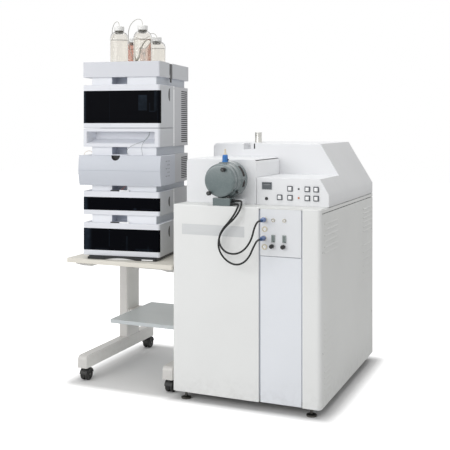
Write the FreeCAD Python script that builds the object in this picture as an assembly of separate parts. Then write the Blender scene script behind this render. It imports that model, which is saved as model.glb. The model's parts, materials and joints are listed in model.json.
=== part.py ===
# Liquid chromatograph mass spectrometer: a floor-standing spectrometer cabinet and, beside it,
# a wheeled table that carries a stack of chromatography modules with solvent bottles on top.
# Millimetres, +Z up, +X to the right along the cabinet's front, +Y towards its back.
# The origin is under the centre of the cabinet's front left levelling foot, at floor level.
import FreeCAD, Part
import math
import os

os.makedirs("parts", exist_ok=True)
Vec = FreeCAD.Vector

# Running gaps
FACE_GAP = 0.3
SHAFT_GAP = 0.05

# Cabinet
CABINET_WIDTH = 680.0
CABINET_DEPTH = 948.0
CABINET_BOTTOM = 39.0
SIDE_PANEL_TOP = 842.0
DECK_TOP = 862.0
GROOVE = 3.0
GROOVE_DEPTH = 6.0
SHEET = 2.0
FRONT_THICK = 20.0
FRONT_CORNER = 18.0
LEFT_PANEL_WIDTH = 408.0
RIGHT_PANEL_WIDTH = 80.0
CENTRE_GAP = 5.0
CONNECTOR_BOTTOM = 659.0
CONNECTOR_SETBACK = 4.0
LOWER_SETBACK = 6.0
CENTRE_THICK = 8.0
TOP_LIP = 5.0
POST_SIZE = 30.0
PAN_THICK = 6.0
STRIPE_LEFT = 48.0
STRIPE_LENGTH = 294.0
STRIPE_BOTTOM = 732.0
STRIPE_HEIGHT = 46.0
STRIPE_DEPTH = 0.8
LOUVRE_SLOT = 6.0
LOUVRE_PROUD = 2.4
LOUVRE_BLADE = 1.2
LOUVRE_COUNT = 6
LOUVRE_FRONT = 55.0
LOUVRE_SHORT = 94.0
LOUVRE_LONG = 204.0
REAR_LOUVRE_START = CABINET_DEPTH - 212.0
REAR_LOUVRE_END = CABINET_DEPTH - 18.0
# Louvre groups of a side panel, as (front, back, low, high)
LOUVRE_GROUPS = [(LOUVRE_FRONT, LOUVRE_FRONT + LOUVRE_LONG, 667.0, 812.0),
                 (LOUVRE_FRONT, LOUVRE_FRONT + LOUVRE_SHORT, 252.0, 396.0),
                 (LOUVRE_FRONT, LOUVRE_FRONT + LOUVRE_SHORT, 73.0, 217.0),
                 (REAR_LOUVRE_START, REAR_LOUVRE_END, 678.0, 809.0),
                 (REAR_LOUVRE_START, REAR_LOUVRE_END, 434.0, 635.0)]
SCREW_RADIUS = 4.0
SCREW_PROUD = 1.2
# Screws of a side panel, as (y, z)
SIDE_SCREWS = [(28.0, 683.0), (30.0, 265.0), (CABINET_DEPTH - 23.0, 680.0), (CABINET_DEPTH - 23.0, 258.0)]
REAR_SLOT_LENGTH = 200.0
REAR_SLOT_INSET = 90.0
REAR_SLOT_BOTTOM = 480.0
REAR_SLOT_PITCH = 22.0
REAR_SLOT_COUNT = 10
INLET_LEFT = 90.0
INLET_WIDTH = 60.0
INLET_BOTTOM = 120.0
INLET_HEIGHT = 50.0
INLET_DEPTH = 30.0
INLET_WALL = 5.0

# Levelling feet
FOOT_INSET_X = 50.7
FOOT_INSET_Y = 38.0
FOOT_RADIUS = 22.0
FOOT_PAD = 12.0
STEM_RADIUS = 6.0

# Hood, console and source box
HOOD_FRONT = 430.0
HOOD_LEFT = 10.0
HOOD_TOP = 1124.0
HOOD_WALL = 4.0
HOOD_CORNER = 20.0
LEAN_START = 915.0
LEAN_ANGLE = 31.3
CONSOLE_FRONT = 122.0
CONSOLE_LEFT = 353.0
CONSOLE_TOP = 980.0
CONSOLE_PANEL = 3.7
SOURCE_BOX_LEFT = 11.0
SOURCE_BOX_RIGHT = 351.0
SOURCE_BOX_CORNER = 18.0
NOTCH_LEFT = 169.0
NOTCH_RIGHT = 257.0
NOTCH_BOTTOM = 1094.0
NOTCH_DEPTH = 70.0
PORT_LEFT = 206.0
PORT_RADIUS = 16.0
PORT_TOP = 1176.0
PORT_Y = 470.0
PORT_X = 230.0

# Ion source
SOURCE_X = 230.0
SOURCE_Z = 972.0
SOURCE_BOX_TOP = SOURCE_Z + 88.0
COVER_RADIUS = 72.0
COVER_FRONT = -10.0
COVER_BACK = 20.0
COVER_EDGE = 12.0
RING_RADIUS = 80.0
RING_FRONT = 62.0
THROAT_RADIUS = 75.0
BORE_RADIUS = 58.0
SPIGOT_RADIUS = 52.0
SPIGOT_LENGTH = 14.0
KNOB_RADIUS = 8.5
KNOB_LENGTH = 14.0
KNOB_SHAFT = 3.0
KNOB_OFFSETS = [(23.0, 48.0), (-43.0, -55.0)]
BLOCK_LEFT = 193.0
BLOCK_RIGHT = 275.0
BLOCK_TOP = SOURCE_Z - 76.0
BLOCK_FRONT = 4.0
BLOCK_BACK = 60.0
PLINTH_LEFT = 164.0
PLINTH_RIGHT = 302.0
PLINTH_HEIGHT = 26.0
SPRAYER_Y = 38.0
SPRAYER_RADIUS = 13.5
SPRAYER_TOP = SOURCE_Z + 108.0
SPRAYER_TIP_TOP = SOURCE_Z + 135.0

# Switches on the console: one row and a lower row, as (x, z) centres
SWITCH_SIZE = 24.0
CAP_SIZE = 15.4
SWITCH_PROUD = 4.0
CAP_PROUD = 3.0
CAP_TRAVEL = 3.0
SWITCH_BODY = 18.0
UPPER_ROW = 936.0
LOWER_ROW = 897.5
SWITCH_PLACES = [(460.0, LOWER_ROW), (507.0, UPPER_ROW), (507.0, LOWER_ROW), (585.0, UPPER_ROW),
                 (585.0, LOWER_ROW), (624.0, UPPER_ROW), (624.0, LOWER_ROW)]
LAMP_X = 546.0
LAMP_RADIUS = 4.0
DISPLAY_CENTRE = (401.0, 946.0)
DISPLAY_WIDTH = 46.0
DISPLAY_HEIGHT = 32.0
JACK_CENTRE = (399.0, 890.0)
JACK_RADIUS = 7.0

# Connector panel, as (x, z) centres
PLUG_PLACES = [(432.0, 812.0), (430.0, 734.0)]
PLUG_RADIUS = 11.0
PLUG_LENGTH = 30.0
BOOT_LENGTH = 12.0
RING_PLACES = [(434.0, 772.0), (433.0, 697.0)]
RING_SOCKET_RADIUS = 12.0
SMALL_PLACES = [(472.0, 811.0), (521.0, 811.0)]
SMALL_SOCKET_RADIUS = 8.0
METER_PLACES = [(472.0, 734.0), (521.0, 734.0)]
METER_WIDTH = 16.0
METER_HEIGHT = 31.0
VALVE_PLACES = [(468.0, 702.0), (518.0, 702.0)]
VALVE_RADIUS = 9.0
VALVE_LENGTH = 20.0
VALVE_SHAFT = 3.0

# Vacuum chamber with its turbo pumps, and the electronics, all inside
CHAMBER_LEFT = 70.0
CHAMBER_RIGHT = 330.0
CHAMBER_TOP = SOURCE_Z + 63.0
CHAMBER_FRONT = CONSOLE_FRONT + HOOD_WALL + FACE_GAP
CHAMBER_BACK = CABINET_DEPTH - 68.0
CHAMBER_SKIN = 25.0
ENTRY_RADIUS = 40.0
ENTRY_DEPTH = 120.0
HOLLOW_START = 150.0
TURBO_X = 200.0
TURBO_RADIUS = 72.0
TURBO_YS = [CABINET_DEPTH * share for share in (0.316, 0.548, 0.780)]
TURBO_LENGTH = 250.0
RACK_LEFT = 330.0
RACK_RIGHT = CABINET_WIDTH - 40.0
RACK_FRONT = 120.0
RACK_BACK = CABINET_DEPTH - 48.0
RAIL = 12.0
RAIL_HEIGHT = 560.0
DRAWER_COUNT = 3
DRAWER_HEIGHT = 130.0
DRAWER_PITCH = 180.0
DRAWER_START = 20.0
FIN_PITCH = 24.0
FIN_DEPTH = 20.0
FIN_MARGIN = 18.0
ROUGHING_LEFT = 60.0
ROUGHING_RIGHT = 300.0
ROUGHING_FRONT = 300.0
ROUGHING_BACK = CABINET_DEPTH - 248.0
ROUGHING_HEIGHT = 150.0
MOTOR_RADIUS = 70.0
MOTOR_LENGTH = 160.0
MOTOR_HEIGHT = 90.0

# Table
TABLE_TOP = 590.0
TABLE_THICK = 20.0
TABLE_LENGTH = 550.0
TABLE_FRONT = -5.0
TABLE_DEPTH = 700.0
TABLE_RIGHT = -FACE_GAP
TABLE_LEFT = TABLE_RIGHT - TABLE_LENGTH
LEG_WIDTH = 50.0
LEG_INSET = 25.0
LEG_XS = [TABLE_LEFT + LEG_INSET, TABLE_RIGHT - LEG_INSET - LEG_WIDTH]
POST_FRONT = 435.0
POST_DEPTH = 126.0
ARM_HEIGHT = 30.0
ARM_FRONT = 37.0
ARM_BACK = 660.0
BEAM_BOTTOM = 63.0
BEAM_HEIGHT = 59.0
BEAM_FRONT = 50.0
BEAM_BACK = 720.0
STRETCHER_HEIGHT = 60.0
STRETCHER_THICK = 30.0
SHELF_TOP = 262.0
SHELF_THICK = 18.0
SHELF_FRONT = 224.0
SHELF_BACK = 650.0
SHELF_END_GAP = 23.0

# Castors
WHEEL_RADIUS = 28.0
WHEEL_WIDTH = 14.0
WEB_THICK = 10.0
AXLE_RADIUS = 4.0
CASTOR_TRAIL = 14.0
HOOD_THICK = 2.5
STUD_RADIUS = 5.5
STUD_LENGTH = 30.0
CASTOR_YS = [75.0, 690.0]

# Stack of modules: its front left corner on the table and its turn there
STACK_CORNER = (-474.3, 17.4)
STACK_TURN = 8.0
MODULE_WIDTH = 378.0
MODULE_DEPTH = 440.0
COVER_DEPTH = 198.0
COVER_WALL = 3.0
COVER_ROUND = 10.0
STRIP_DEPTH = 16.0
CASE_INSET = 5.0
NECK_LEFT = 40.0
NECK_RIGHT = 20.0
NECK_FRONT = 14.0
PUMP_BASE = 16.0
PUMP_HEIGHT = 152.0
DEGASSER_NECK = 37.0
DEGASSER_HEIGHT = 110.0
OVEN_NECK = 27.0
OVEN_HEIGHT = 139.0
OVEN_EXTRA = 8.0
SAMPLER_NECK = 39.0
SAMPLER_HEIGHT = 287.0
TRAY_NECK = 36.0
TRAY_HEIGHT = 71.0
TRAY_WALL = 4.0
TRAY_FLOOR = 6.0
SEAM_SHARE = 0.37
GRIP_DEPTH = 12.0
GRIP_CUP = 4.0
GRIP_BACK = COVER_DEPTH * 0.72
WINDOW_WRAP = 12.0
WINDOW_GAP = 0.1
SAMPLER_WRAP = 25.0
FLAP_BULGE = 25.0
FLAP_THICK = 11.0
FLAP_CHAMFER = 1.5
FLAP_GRIP_WIDTH = 41.0
FLAP_GRIP_DEPTH = 23.0
HINGE_Y = -6.0
HINGE_RISE = 2.3
HINGE_PIN = 1.2
KNUCKLE_RADIUS = 2.6
KNUCKLE_LENGTH = 18.0
KNUCKLE_INSET = 60.0
KNUCKLE_NOTCH = 7.0
RECESS_BOTTOM = 15.0
RECESS_TOP = 71.0
SAMPLER_SPLIT = 86.0
SAMPLER_SEAM = 2.0
RECESS_DEPTH = 60.0
VIAL_COLUMNS = 5
VIAL_ROWS = 3
VIAL_PITCH = 36.0
PUMP_BOTTOM = PUMP_BASE
PUMP_TOP = PUMP_BOTTOM + PUMP_HEIGHT
DEGASSER_BOTTOM = PUMP_TOP + DEGASSER_NECK
DEGASSER_TOP = DEGASSER_BOTTOM + DEGASSER_HEIGHT
OVEN_BOTTOM = DEGASSER_TOP + OVEN_NECK
OVEN_TOP = OVEN_BOTTOM + OVEN_HEIGHT
SAMPLER_BOTTOM = OVEN_TOP + SAMPLER_NECK
SAMPLER_TOP = SAMPLER_BOTTOM + SAMPLER_HEIGHT
TRAY_BOTTOM = SAMPLER_TOP + TRAY_NECK
TRAY_TOP = TRAY_BOTTOM + TRAY_HEIGHT
CAVITY = COVER_WALL + 2.0
STRAP_FRONT = 158.0
STRAP_WIDTH = 16.0
STRAP_THICK = 2.0
# Grommets in the tray's floor that the solvent tubes go into, as (x, y)
GROMMET = (198.0, 196.0)
SIDE_GROMMET = (62.0, 194.0)
GROMMET_HEIGHT = 5.0

# Bottles, as (x, y) on the tray, tall ones at the front
TALL_BOTTLES = [(137.0, 108.0), (258.0, 102.0)]
SHORT_BOTTLES = [(140.0, 292.0), (266.0, 275.0)]
BOTTLE_RADIUS = 42.0
BOTTLE_WALL = 2.5
SHOULDER_SHARE = 0.70
FILL_SHARE = 0.62
NECK_RADIUS = 19.0
TALL_HEIGHT = 238.0
SHORT_HEIGHT = 200.0
CAP_RADIUS = 24.0
CAP_HEIGHT = 22.0
CAP_CLEAR = 1.0

# Cords
CABLE_DIAMETER = 8.0
TUBE_DIAMETER = 3.2
CAPILLARY_DIAMETER = 1.6
UPPER_CABLE = [(275, 13, 871), (300, 13, 871), (318, -4, 873), (325, -29, 865), (318, -44, 838),
               (293, -47, 802), (265, -46, 768), (246, -45, 731), (249, -45, 694), (271, -48, 667),
               (303, -55, 656), (338, -64, 661), (371, -78, 678), (399, -94, 706), (419, -107, 740),
               (430, -110, 775), (432, -98, 799), (432, -76, 812), (432, -50, 812)]
LOWER_CABLE = [(275, 29, 884), (302, 29, 884), (323, 14, 886), (335, -10, 878), (332, -25, 849),
               (306, -27, 811), (272, -26, 780), (243, -25, 742), (232, -25, 698), (243, -28, 657),
               (274, -38, 626), (316, -53, 612), (354, -73, 617), (388, -92, 634), (414, -107, 657),
               (428, -110, 690), (430, -98, 719), (430, -76, 734), (430, -50, 734)]


def box(x0, x1, y0, y1, z0, z1):
    return Part.makeBox(x1 - x0, y1 - y0, z1 - z0, Vec(x0, y0, z0))


def rod(start, axis, radius, length):
    return Part.makeCylinder(radius, length, Vec(*start), Vec(*axis))


def prism(points, travel):
    # A straight-sided outline pushed along a vector.
    corners = [Vec(*p) for p in points]
    wire = Part.makePolygon(corners + [corners[0]])
    return Part.Face(wire).extrude(Vec(*travel))


def revolved(profile, start, axis):
    # A lathe shape. Each entry is (radius, distance along the axis), or a pair of those, the middle
    # and the end of an arc from the entry before it.
    edges = []
    last = Vec(profile[0][0], 0, profile[0][1])
    for entry in profile[1:] + [profile[0]]:
        if isinstance(entry[0], tuple):
            middle, end = [Vec(r, 0, d) for r, d in entry]
            edges.append(Part.Arc(last, middle, end).toShape())
        else:
            end = Vec(entry[0], 0, entry[1])
            edges.append(Part.makeLine(last, end))
        last = end
    solid = Part.Face(Part.Wire(edges)).revolve(Vec(0, 0, 0), Vec(0, 0, 1), 360)
    turn = FreeCAD.Rotation(Vec(0, 0, 1), Vec(*axis))
    solid.Placement = FreeCAD.Placement(Vec(*start), turn)
    return solid


def rounded(shape, radius, chosen):
    # Rounds the edges that the test picks by their middle point and direction.
    picked = []
    for edge in shape.Edges:
        if len(edge.Vertexes) < 2:
            continue
        run = edge.Vertexes[1].Point - edge.Vertexes[0].Point
        if run.Length < 1e-6:
            continue
        if chosen(edge.CenterOfMass, run.normalize()):
            picked.append(edge)
    return shape.makeFillet(radius, picked)


def near(a, b):
    return abs(a - b) < 0.01


def fused(solids):
    return solids[0].multiFuse(solids[1:]).removeSplitter()


def stack_place(solid):
    # Stands a solid drawn in the stack's own frame on the turned spot on the table.
    turn = FreeCAD.Rotation(Vec(0, 0, 1), STACK_TURN)
    spot = Vec(STACK_CORNER[0], STACK_CORNER[1], TABLE_TOP)
    moved = solid.copy()
    moved.Placement = FreeCAD.Placement(spot, turn).multiply(moved.Placement)
    return moved


def write(node, solids, in_stack=False):
    # Writes one sub-part, moved so that the origin is under the front left foot.
    group = Part.makeCompound([stack_place(s) if in_stack else s for s in solids])
    group.translate(Vec(-FOOT_INSET_X, -FOOT_INSET_Y, 0))
    group.exportStep("parts/" + node + ".step")
    print(node, len(group.Solids), round(group.Volume / 1000.0, 1), "cm3", group.isValid())


def lean_shift(z):
    return max(0.0, z - LEAN_START) * math.tan(math.radians(LEAN_ANGLE))


# Cabinet

def cabinet_frame():
    pan = box(SHEET, CABINET_WIDTH - SHEET, FRONT_THICK, CABINET_DEPTH - SHEET,
              CABINET_BOTTOM, CABINET_BOTTOM + PAN_THICK)
    slab = box(0, CABINET_WIDTH, FRONT_THICK, CABINET_DEPTH, SIDE_PANEL_TOP + GROOVE, DECK_TOP - GROOVE)
    core = box(GROOVE_DEPTH, CABINET_WIDTH - GROOVE_DEPTH, FRONT_THICK, CABINET_DEPTH - GROOVE_DEPTH,
               SIDE_PANEL_TOP, DECK_TOP)
    lip = box(LEFT_PANEL_WIDTH, CABINET_WIDTH - RIGHT_PANEL_WIDTH, CONNECTOR_SETBACK, FRONT_THICK,
              DECK_TOP - TOP_LIP, DECK_TOP)
    deck = fused([slab, core, lip])
    for y in TURBO_YS:
        deck = deck.cut(rod((TURBO_X, y, 0), (0, 0, 1), TURBO_RADIUS + SHEET, DECK_TOP + 1))
    solids = [deck]
    inner = SHEET + FACE_GAP
    posts = []
    half_post = POST_SIZE / 2
    for x in (inner, CABINET_WIDTH - inner - POST_SIZE):
        for y in (FRONT_THICK, CABINET_DEPTH - inner - half_post):
            posts.append(box(x, x + POST_SIZE, y, y + half_post,
                             CABINET_BOTTOM + PAN_THICK, SIDE_PANEL_TOP))
    centre_left = LEFT_PANEL_WIDTH - POST_SIZE / 2
    centre_right = CABINET_WIDTH - RIGHT_PANEL_WIDTH - POST_SIZE / 2
    for x in (centre_left, centre_right):
        posts.append(box(x, x + POST_SIZE, FRONT_THICK, FRONT_THICK + POST_SIZE / 2,
                         CABINET_BOTTOM + PAN_THICK, SIDE_PANEL_TOP))
    solids += posts
    for x in (FOOT_INSET_X, CABINET_WIDTH - FOOT_INSET_X):
        for y in (FOOT_INSET_Y, CABINET_DEPTH - FOOT_INSET_Y):
            pan = pan.cut(rod((x, y, CABINET_BOTTOM - 1), (0, 0, 1), STEM_RADIUS + SHAFT_GAP, PAN_THICK + 2))
    return solids + [pan]


def levelling_feet():
    feet = []
    for x in (FOOT_INSET_X, CABINET_WIDTH - FOOT_INSET_X):
        for y in (FOOT_INSET_Y, CABINET_DEPTH - FOOT_INSET_Y):
            pad_top = FOOT_PAD * 0.6
            profile = [(0, 0), (FOOT_RADIUS, 0), (FOOT_RADIUS, pad_top), (STEM_RADIUS + 4, FOOT_PAD),
                       (STEM_RADIUS, FOOT_PAD), (STEM_RADIUS, CABINET_BOTTOM + PAN_THICK * 2),
                       (0, CABINET_BOTTOM + PAN_THICK * 2)]
            foot = revolved(profile, (x, y, 0), (0, 0, 1))
            nut = hex_nut(x, y, CABINET_BOTTOM - 8 - FACE_GAP, 8)
            feet.append(fused([foot, nut]))
    return feet


def hex_nut(x, y, z, height):
    across = STEM_RADIUS * 1.9
    corners = [(x + across * math.cos(math.radians(60 * k)), y + across * math.sin(math.radians(60 * k)), z)
               for k in range(6)]
    return prism(corners, (0, 0, height))


def front_panel(x0, x1, outer_x):
    panel = box(x0, x1, 0, FRONT_THICK, CABINET_BOTTOM, DECK_TOP)
    panel = rounded(panel, FRONT_CORNER,
                    lambda m, d: near(abs(d.z), 1) and near(m.x, outer_x) and near(m.y, 0))
    inner_x = x1 if near(outer_x, x0) else x0
    panel = rounded(panel, 3.0, lambda m, d: near(abs(d.z), 1) and near(m.x, inner_x) and near(m.y, 0))
    panel = rounded(panel, 4.0, lambda m, d: near(m.z, DECK_TOP) and m.y < FRONT_THICK / 2)
    return panel


def front_left_panel():
    panel = front_panel(0, LEFT_PANEL_WIDTH, 0)
    stripe = box(STRIPE_LEFT, STRIPE_LEFT + STRIPE_LENGTH, -1, STRIPE_DEPTH,
                 STRIPE_BOTTOM, STRIPE_BOTTOM + STRIPE_HEIGHT)
    return [panel.cut(stripe)]


def front_right_panel():
    return [front_panel(CABINET_WIDTH - RIGHT_PANEL_WIDTH, CABINET_WIDTH, CABINET_WIDTH)]


def centre_panel(front, z0, z1):
    x0 = LEFT_PANEL_WIDTH + CENTRE_GAP
    x1 = CABINET_WIDTH - RIGHT_PANEL_WIDTH - CENTRE_GAP
    panel = box(x0, x1, front, FRONT_THICK, z0, z1)
    hollow = box(x0 + CENTRE_THICK, x1 - CENTRE_THICK, front + SHEET, FRONT_THICK + 1,
                 z0 + CENTRE_THICK, z1 - CENTRE_THICK)
    panel = rounded(panel, 2.0, lambda m, d: near(m.y, front))
    return panel.cut(hollow)


def connector_panel():
    panel = centre_panel(CONNECTOR_SETBACK, CONNECTOR_BOTTOM, DECK_TOP - TOP_LIP)
    for x, z in VALVE_PLACES:
        panel = panel.cut(rod((x, -1, z), (0, 1, 0), VALVE_SHAFT + SHAFT_GAP, FRONT_THICK + 2))
    return [panel]


def lower_centre_panel():
    return [centre_panel(LOWER_SETBACK, CABINET_BOTTOM, CONNECTOR_BOTTOM - SHEET)]


def louvre_group(y0, y1, z0, z1):
    # Slots through a side panel and, over each, the hood pressed outwards from its top edge.
    slots = []
    hoods = []
    pitch = (z1 - z0) / LOUVRE_COUNT
    for k in range(LOUVRE_COUNT):
        z = z0 + pitch * (k + 0.5) - LOUVRE_SLOT / 2
        top = z + LOUVRE_SLOT
        slots.append(box(-1, SHEET + 1, y0, y1, z, top))
        sheet = [(0, y0, top + LOUVRE_BLADE), (-LOUVRE_PROUD, y0, z),
                 (LOUVRE_BLADE - LOUVRE_PROUD, y0, z), (LOUVRE_BLADE, y0, top)]
        hoods.append(prism(sheet, (0, y1 - y0, 0)))
    return slots, hoods


def side_panels():
    # Drawn for the left side and mirrored for the right one, with the louvres low, high and at the back.
    slots = []
    hoods = []
    for group in LOUVRE_GROUPS:
        cut, kept = louvre_group(*group)
        slots += cut
        hoods += kept
    sheet = box(0, SHEET, FRONT_THICK, CABINET_DEPTH, CABINET_BOTTOM, SIDE_PANEL_TOP)
    sheet = sheet.cut(Part.makeCompound(slots))
    heads = []
    for y, z in SIDE_SCREWS:
        heads.append(rod((-SCREW_PROUD, y, z), (1, 0, 0), SCREW_RADIUS, SCREW_PROUD + SHEET))
    left = fused([sheet] + hoods + heads)
    right = left.mirror(Vec(CABINET_WIDTH / 2, 0, 0), Vec(1, 0, 0))
    return [left, right]


def rear_panel():
    inner = SHEET + FACE_GAP
    panel = box(inner, CABINET_WIDTH - inner, CABINET_DEPTH - SHEET, CABINET_DEPTH,
                CABINET_BOTTOM, SIDE_PANEL_TOP)
    slots = []
    for x in (REAR_SLOT_INSET, CABINET_WIDTH - REAR_SLOT_INSET - REAR_SLOT_LENGTH):
        for k in range(REAR_SLOT_COUNT):
            z = REAR_SLOT_BOTTOM + REAR_SLOT_PITCH * k
            slots.append(box(x, x + REAR_SLOT_LENGTH, CABINET_DEPTH - SHEET - 1, CABINET_DEPTH + 1,
                             z, z + LOUVRE_SLOT))
    panel = panel.cut(Part.makeCompound(slots))
    x0, x1 = INLET_LEFT, INLET_LEFT + INLET_WIDTH
    z0, z1 = INLET_BOTTOM, INLET_BOTTOM + INLET_HEIGHT
    front = CABINET_DEPTH - INLET_DEPTH
    inlet = box(x0, x1, front, CABINET_DEPTH + 4, z0, z1)
    panel = panel.cut(inlet)
    mouth = box(x0 + INLET_WALL, x1 - INLET_WALL, front + 10, CABINET_DEPTH + 5,
                z0 + INLET_WALL + 1, z1 - INLET_WALL - 1)
    return [panel, inlet.cut(mouth)]


# Hood and console

def hood_outline(left, right_inset, bottom, top):
    # The leaning right side: plumb up to the lean height, then inwards to the top.
    right = CABINET_WIDTH - right_inset
    return [(left, bottom), (right, bottom), (right, LEAN_START), (right - lean_shift(top), top), (left, top)]


def slice_y(outline, y0, y1):
    return prism([(x, y0, z) for x, z in outline], (0, y1 - y0, 0))


def hood_cover():
    outer = slice_y(hood_outline(HOOD_LEFT, 0, DECK_TOP, HOOD_TOP), HOOD_FRONT, CABINET_DEPTH)
    outer = rounded(outer, HOOD_CORNER,
                    lambda m, d: near(abs(d.y), 1) and near(m.z, HOOD_TOP) and near(m.x, HOOD_LEFT))
    outer = rounded(outer, 5.0, lambda m, d: near(m.y, HOOD_FRONT) and near(m.z, HOOD_TOP))
    console = slice_y(hood_outline(CONSOLE_LEFT, 0, DECK_TOP, CONSOLE_TOP),
                      CONSOLE_FRONT + CONSOLE_PANEL + FACE_GAP, HOOD_FRONT)
    outer = fused([outer, console])
    wall = HOOD_WALL
    hollow = slice_y(hood_outline(HOOD_LEFT + wall, wall, DECK_TOP - 1, HOOD_TOP - wall),
                     HOOD_FRONT + wall, CABINET_DEPTH - wall)
    hollow = rounded(hollow, HOOD_CORNER - wall,
                     lambda m, d: near(abs(d.y), 1) and near(m.z, HOOD_TOP - wall)
                     and near(m.x, HOOD_LEFT + wall))
    console_hollow = slice_y(hood_outline(CONSOLE_LEFT + wall, wall, DECK_TOP - 1, CONSOLE_TOP - wall),
                             CONSOLE_FRONT, HOOD_FRONT + wall + 1)
    pocket = box(NOTCH_LEFT - wall, NOTCH_RIGHT + wall, HOOD_FRONT - 1, HOOD_FRONT + NOTCH_DEPTH + wall,
                 NOTCH_BOTTOM - wall, HOOD_TOP + 1)
    hollow = fused([hollow, console_hollow]).cut(pocket)
    cover = outer.cut(hollow)
    notch = box(NOTCH_LEFT, NOTCH_RIGHT, HOOD_FRONT - 1, HOOD_FRONT + NOTCH_DEPTH, NOTCH_BOTTOM, HOOD_TOP + 1)
    passage = box(CHAMBER_LEFT - wall, CHAMBER_RIGHT + wall, HOOD_FRONT - 1, HOOD_FRONT + wall + 1,
                  DECK_TOP - 1, CHAMBER_TOP + wall)
    return [cover.cut(notch).cut(passage)]


def top_port():
    column = box(PORT_LEFT, NOTCH_RIGHT - FACE_GAP, HOOD_FRONT + 2, HOOD_FRONT + NOTCH_DEPTH - 2,
                 NOTCH_BOTTOM, HOOD_TOP + 3)
    slot = box(PORT_X - 9, PORT_X - 3, HOOD_FRONT, HOOD_FRONT + 10, NOTCH_BOTTOM + 3, HOOD_TOP - 2)
    pipe = rod((PORT_X, PORT_Y, HOOD_TOP), (0, 0, 1), PORT_RADIUS, PORT_TOP - HOOD_TOP)
    return [fused([column, pipe]).cut(slot)]


def source_plate():
    back = HOOD_FRONT - FACE_GAP
    outer = box(SOURCE_BOX_LEFT, SOURCE_BOX_RIGHT, CONSOLE_FRONT, back, DECK_TOP, SOURCE_BOX_TOP)
    outer = rounded(outer, SOURCE_BOX_CORNER,
                    lambda m, d: near(abs(d.y), 1) and near(m.z, SOURCE_BOX_TOP))
    outer = rounded(outer, 4.0, lambda m, d: near(m.y, CONSOLE_FRONT) and m.z > DECK_TOP + 1)
    wall = HOOD_WALL
    hollow = box(SOURCE_BOX_LEFT + wall, SOURCE_BOX_RIGHT - wall, CONSOLE_FRONT + wall, back + 1,
                 DECK_TOP - 1, SOURCE_BOX_TOP - wall)
    port = rod((SOURCE_X, CONSOLE_FRONT - 1, SOURCE_Z), (0, 1, 0), BORE_RADIUS, wall + 2)
    plinth = box(PLINTH_LEFT, PLINTH_RIGHT, BLOCK_BACK + FACE_GAP, CONSOLE_FRONT,
                 DECK_TOP, DECK_TOP + PLINTH_HEIGHT)
    plinth = rounded(plinth, 2.0, lambda m, d: near(m.y, BLOCK_BACK + FACE_GAP) and m.z > DECK_TOP + 1)
    return [fused([outer.cut(hollow).cut(port), plinth])]


# Ion source

def source_housing():
    front = COVER_BACK + FACE_GAP
    back = CONSOLE_FRONT
    edge = 6.0
    profile = [(BORE_RADIUS, front), (THROAT_RADIUS - edge, front), (THROAT_RADIUS, front + edge),
               (THROAT_RADIUS, RING_FRONT - edge), (RING_RADIUS - 2, RING_FRONT),
               (RING_RADIUS, RING_FRONT + edge),
               (RING_RADIUS, back), (BORE_RADIUS, back)]
    shell = revolved(profile, (SOURCE_X, 0, SOURCE_Z), (0, 1, 0))
    slots = []
    for centre, half in ((35.0, 13.0), (-8.0, 7.0), (145.0, 13.0), (188.0, 7.0)):
        slots.append(ring_sector(RING_RADIUS - 7, RING_RADIUS + 1, RING_FRONT + 14, RING_FRONT + 26,
                                 centre, half))
    shell = shell.cut(Part.makeCompound(slots))
    pad_top = SOURCE_Z + THROAT_RADIUS + 3
    pad = box(SOURCE_X - 14, SOURCE_X + 22, SPRAYER_Y - 15, SPRAYER_Y + 15, SOURCE_Z + BORE_RADIUS + 6, pad_top)
    shell = shell.fuse(pad)
    needle_way = rod((SOURCE_X + 8, SPRAYER_Y, SOURCE_Z), (0, 0, 1), 4.0, THROAT_RADIUS + 10)
    shell = shell.cut(needle_way)
    lug_x = SOURCE_X + 62
    latch = rod((lug_x, RING_FRONT - 18, SOURCE_Z - 52), (0, 1, 0), 7, 30)
    shell = shell.fuse(latch)
    block = box(BLOCK_LEFT, BLOCK_RIGHT, BLOCK_FRONT, BLOCK_BACK, DECK_TOP, BLOCK_TOP)
    block = rounded(block, 3.0, lambda m, d: near(m.z, BLOCK_TOP) or near(abs(d.z), 1))
    neck = box(SOURCE_X - 22, SOURCE_X + 22, front + 8, BLOCK_BACK, BLOCK_TOP - 5, SOURCE_Z - BORE_RADIUS - 8)
    whole = fused([shell, neck, block])
    whole = whole.cut(rod((SOURCE_X, front - 1, SOURCE_Z), (0, 1, 0), BORE_RADIUS, back - front + 2))
    for dx, dz in KNOB_OFFSETS:
        whole = whole.cut(rod((SOURCE_X + dx, front - 1, SOURCE_Z + dz), (0, 1, 0),
                              KNOB_SHAFT + 1, KNOB_LENGTH))
    return [whole]


def ring_sector(r0, r1, y0, y1, centre, half):
    # A piece of a ring round the source's axis, from its angle above the right-hand side.
    steps = 6
    low = [(r1 * math.cos(math.radians(centre - half + 2 * half * k / steps)),
            r1 * math.sin(math.radians(centre - half + 2 * half * k / steps))) for k in range(steps + 1)]
    high = [(x * r0 / r1, z * r0 / r1) for x, z in reversed(low)]
    return prism([(SOURCE_X + x, y0, SOURCE_Z + z) for x, z in low + high], (0, y1 - y0, 0))


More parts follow.
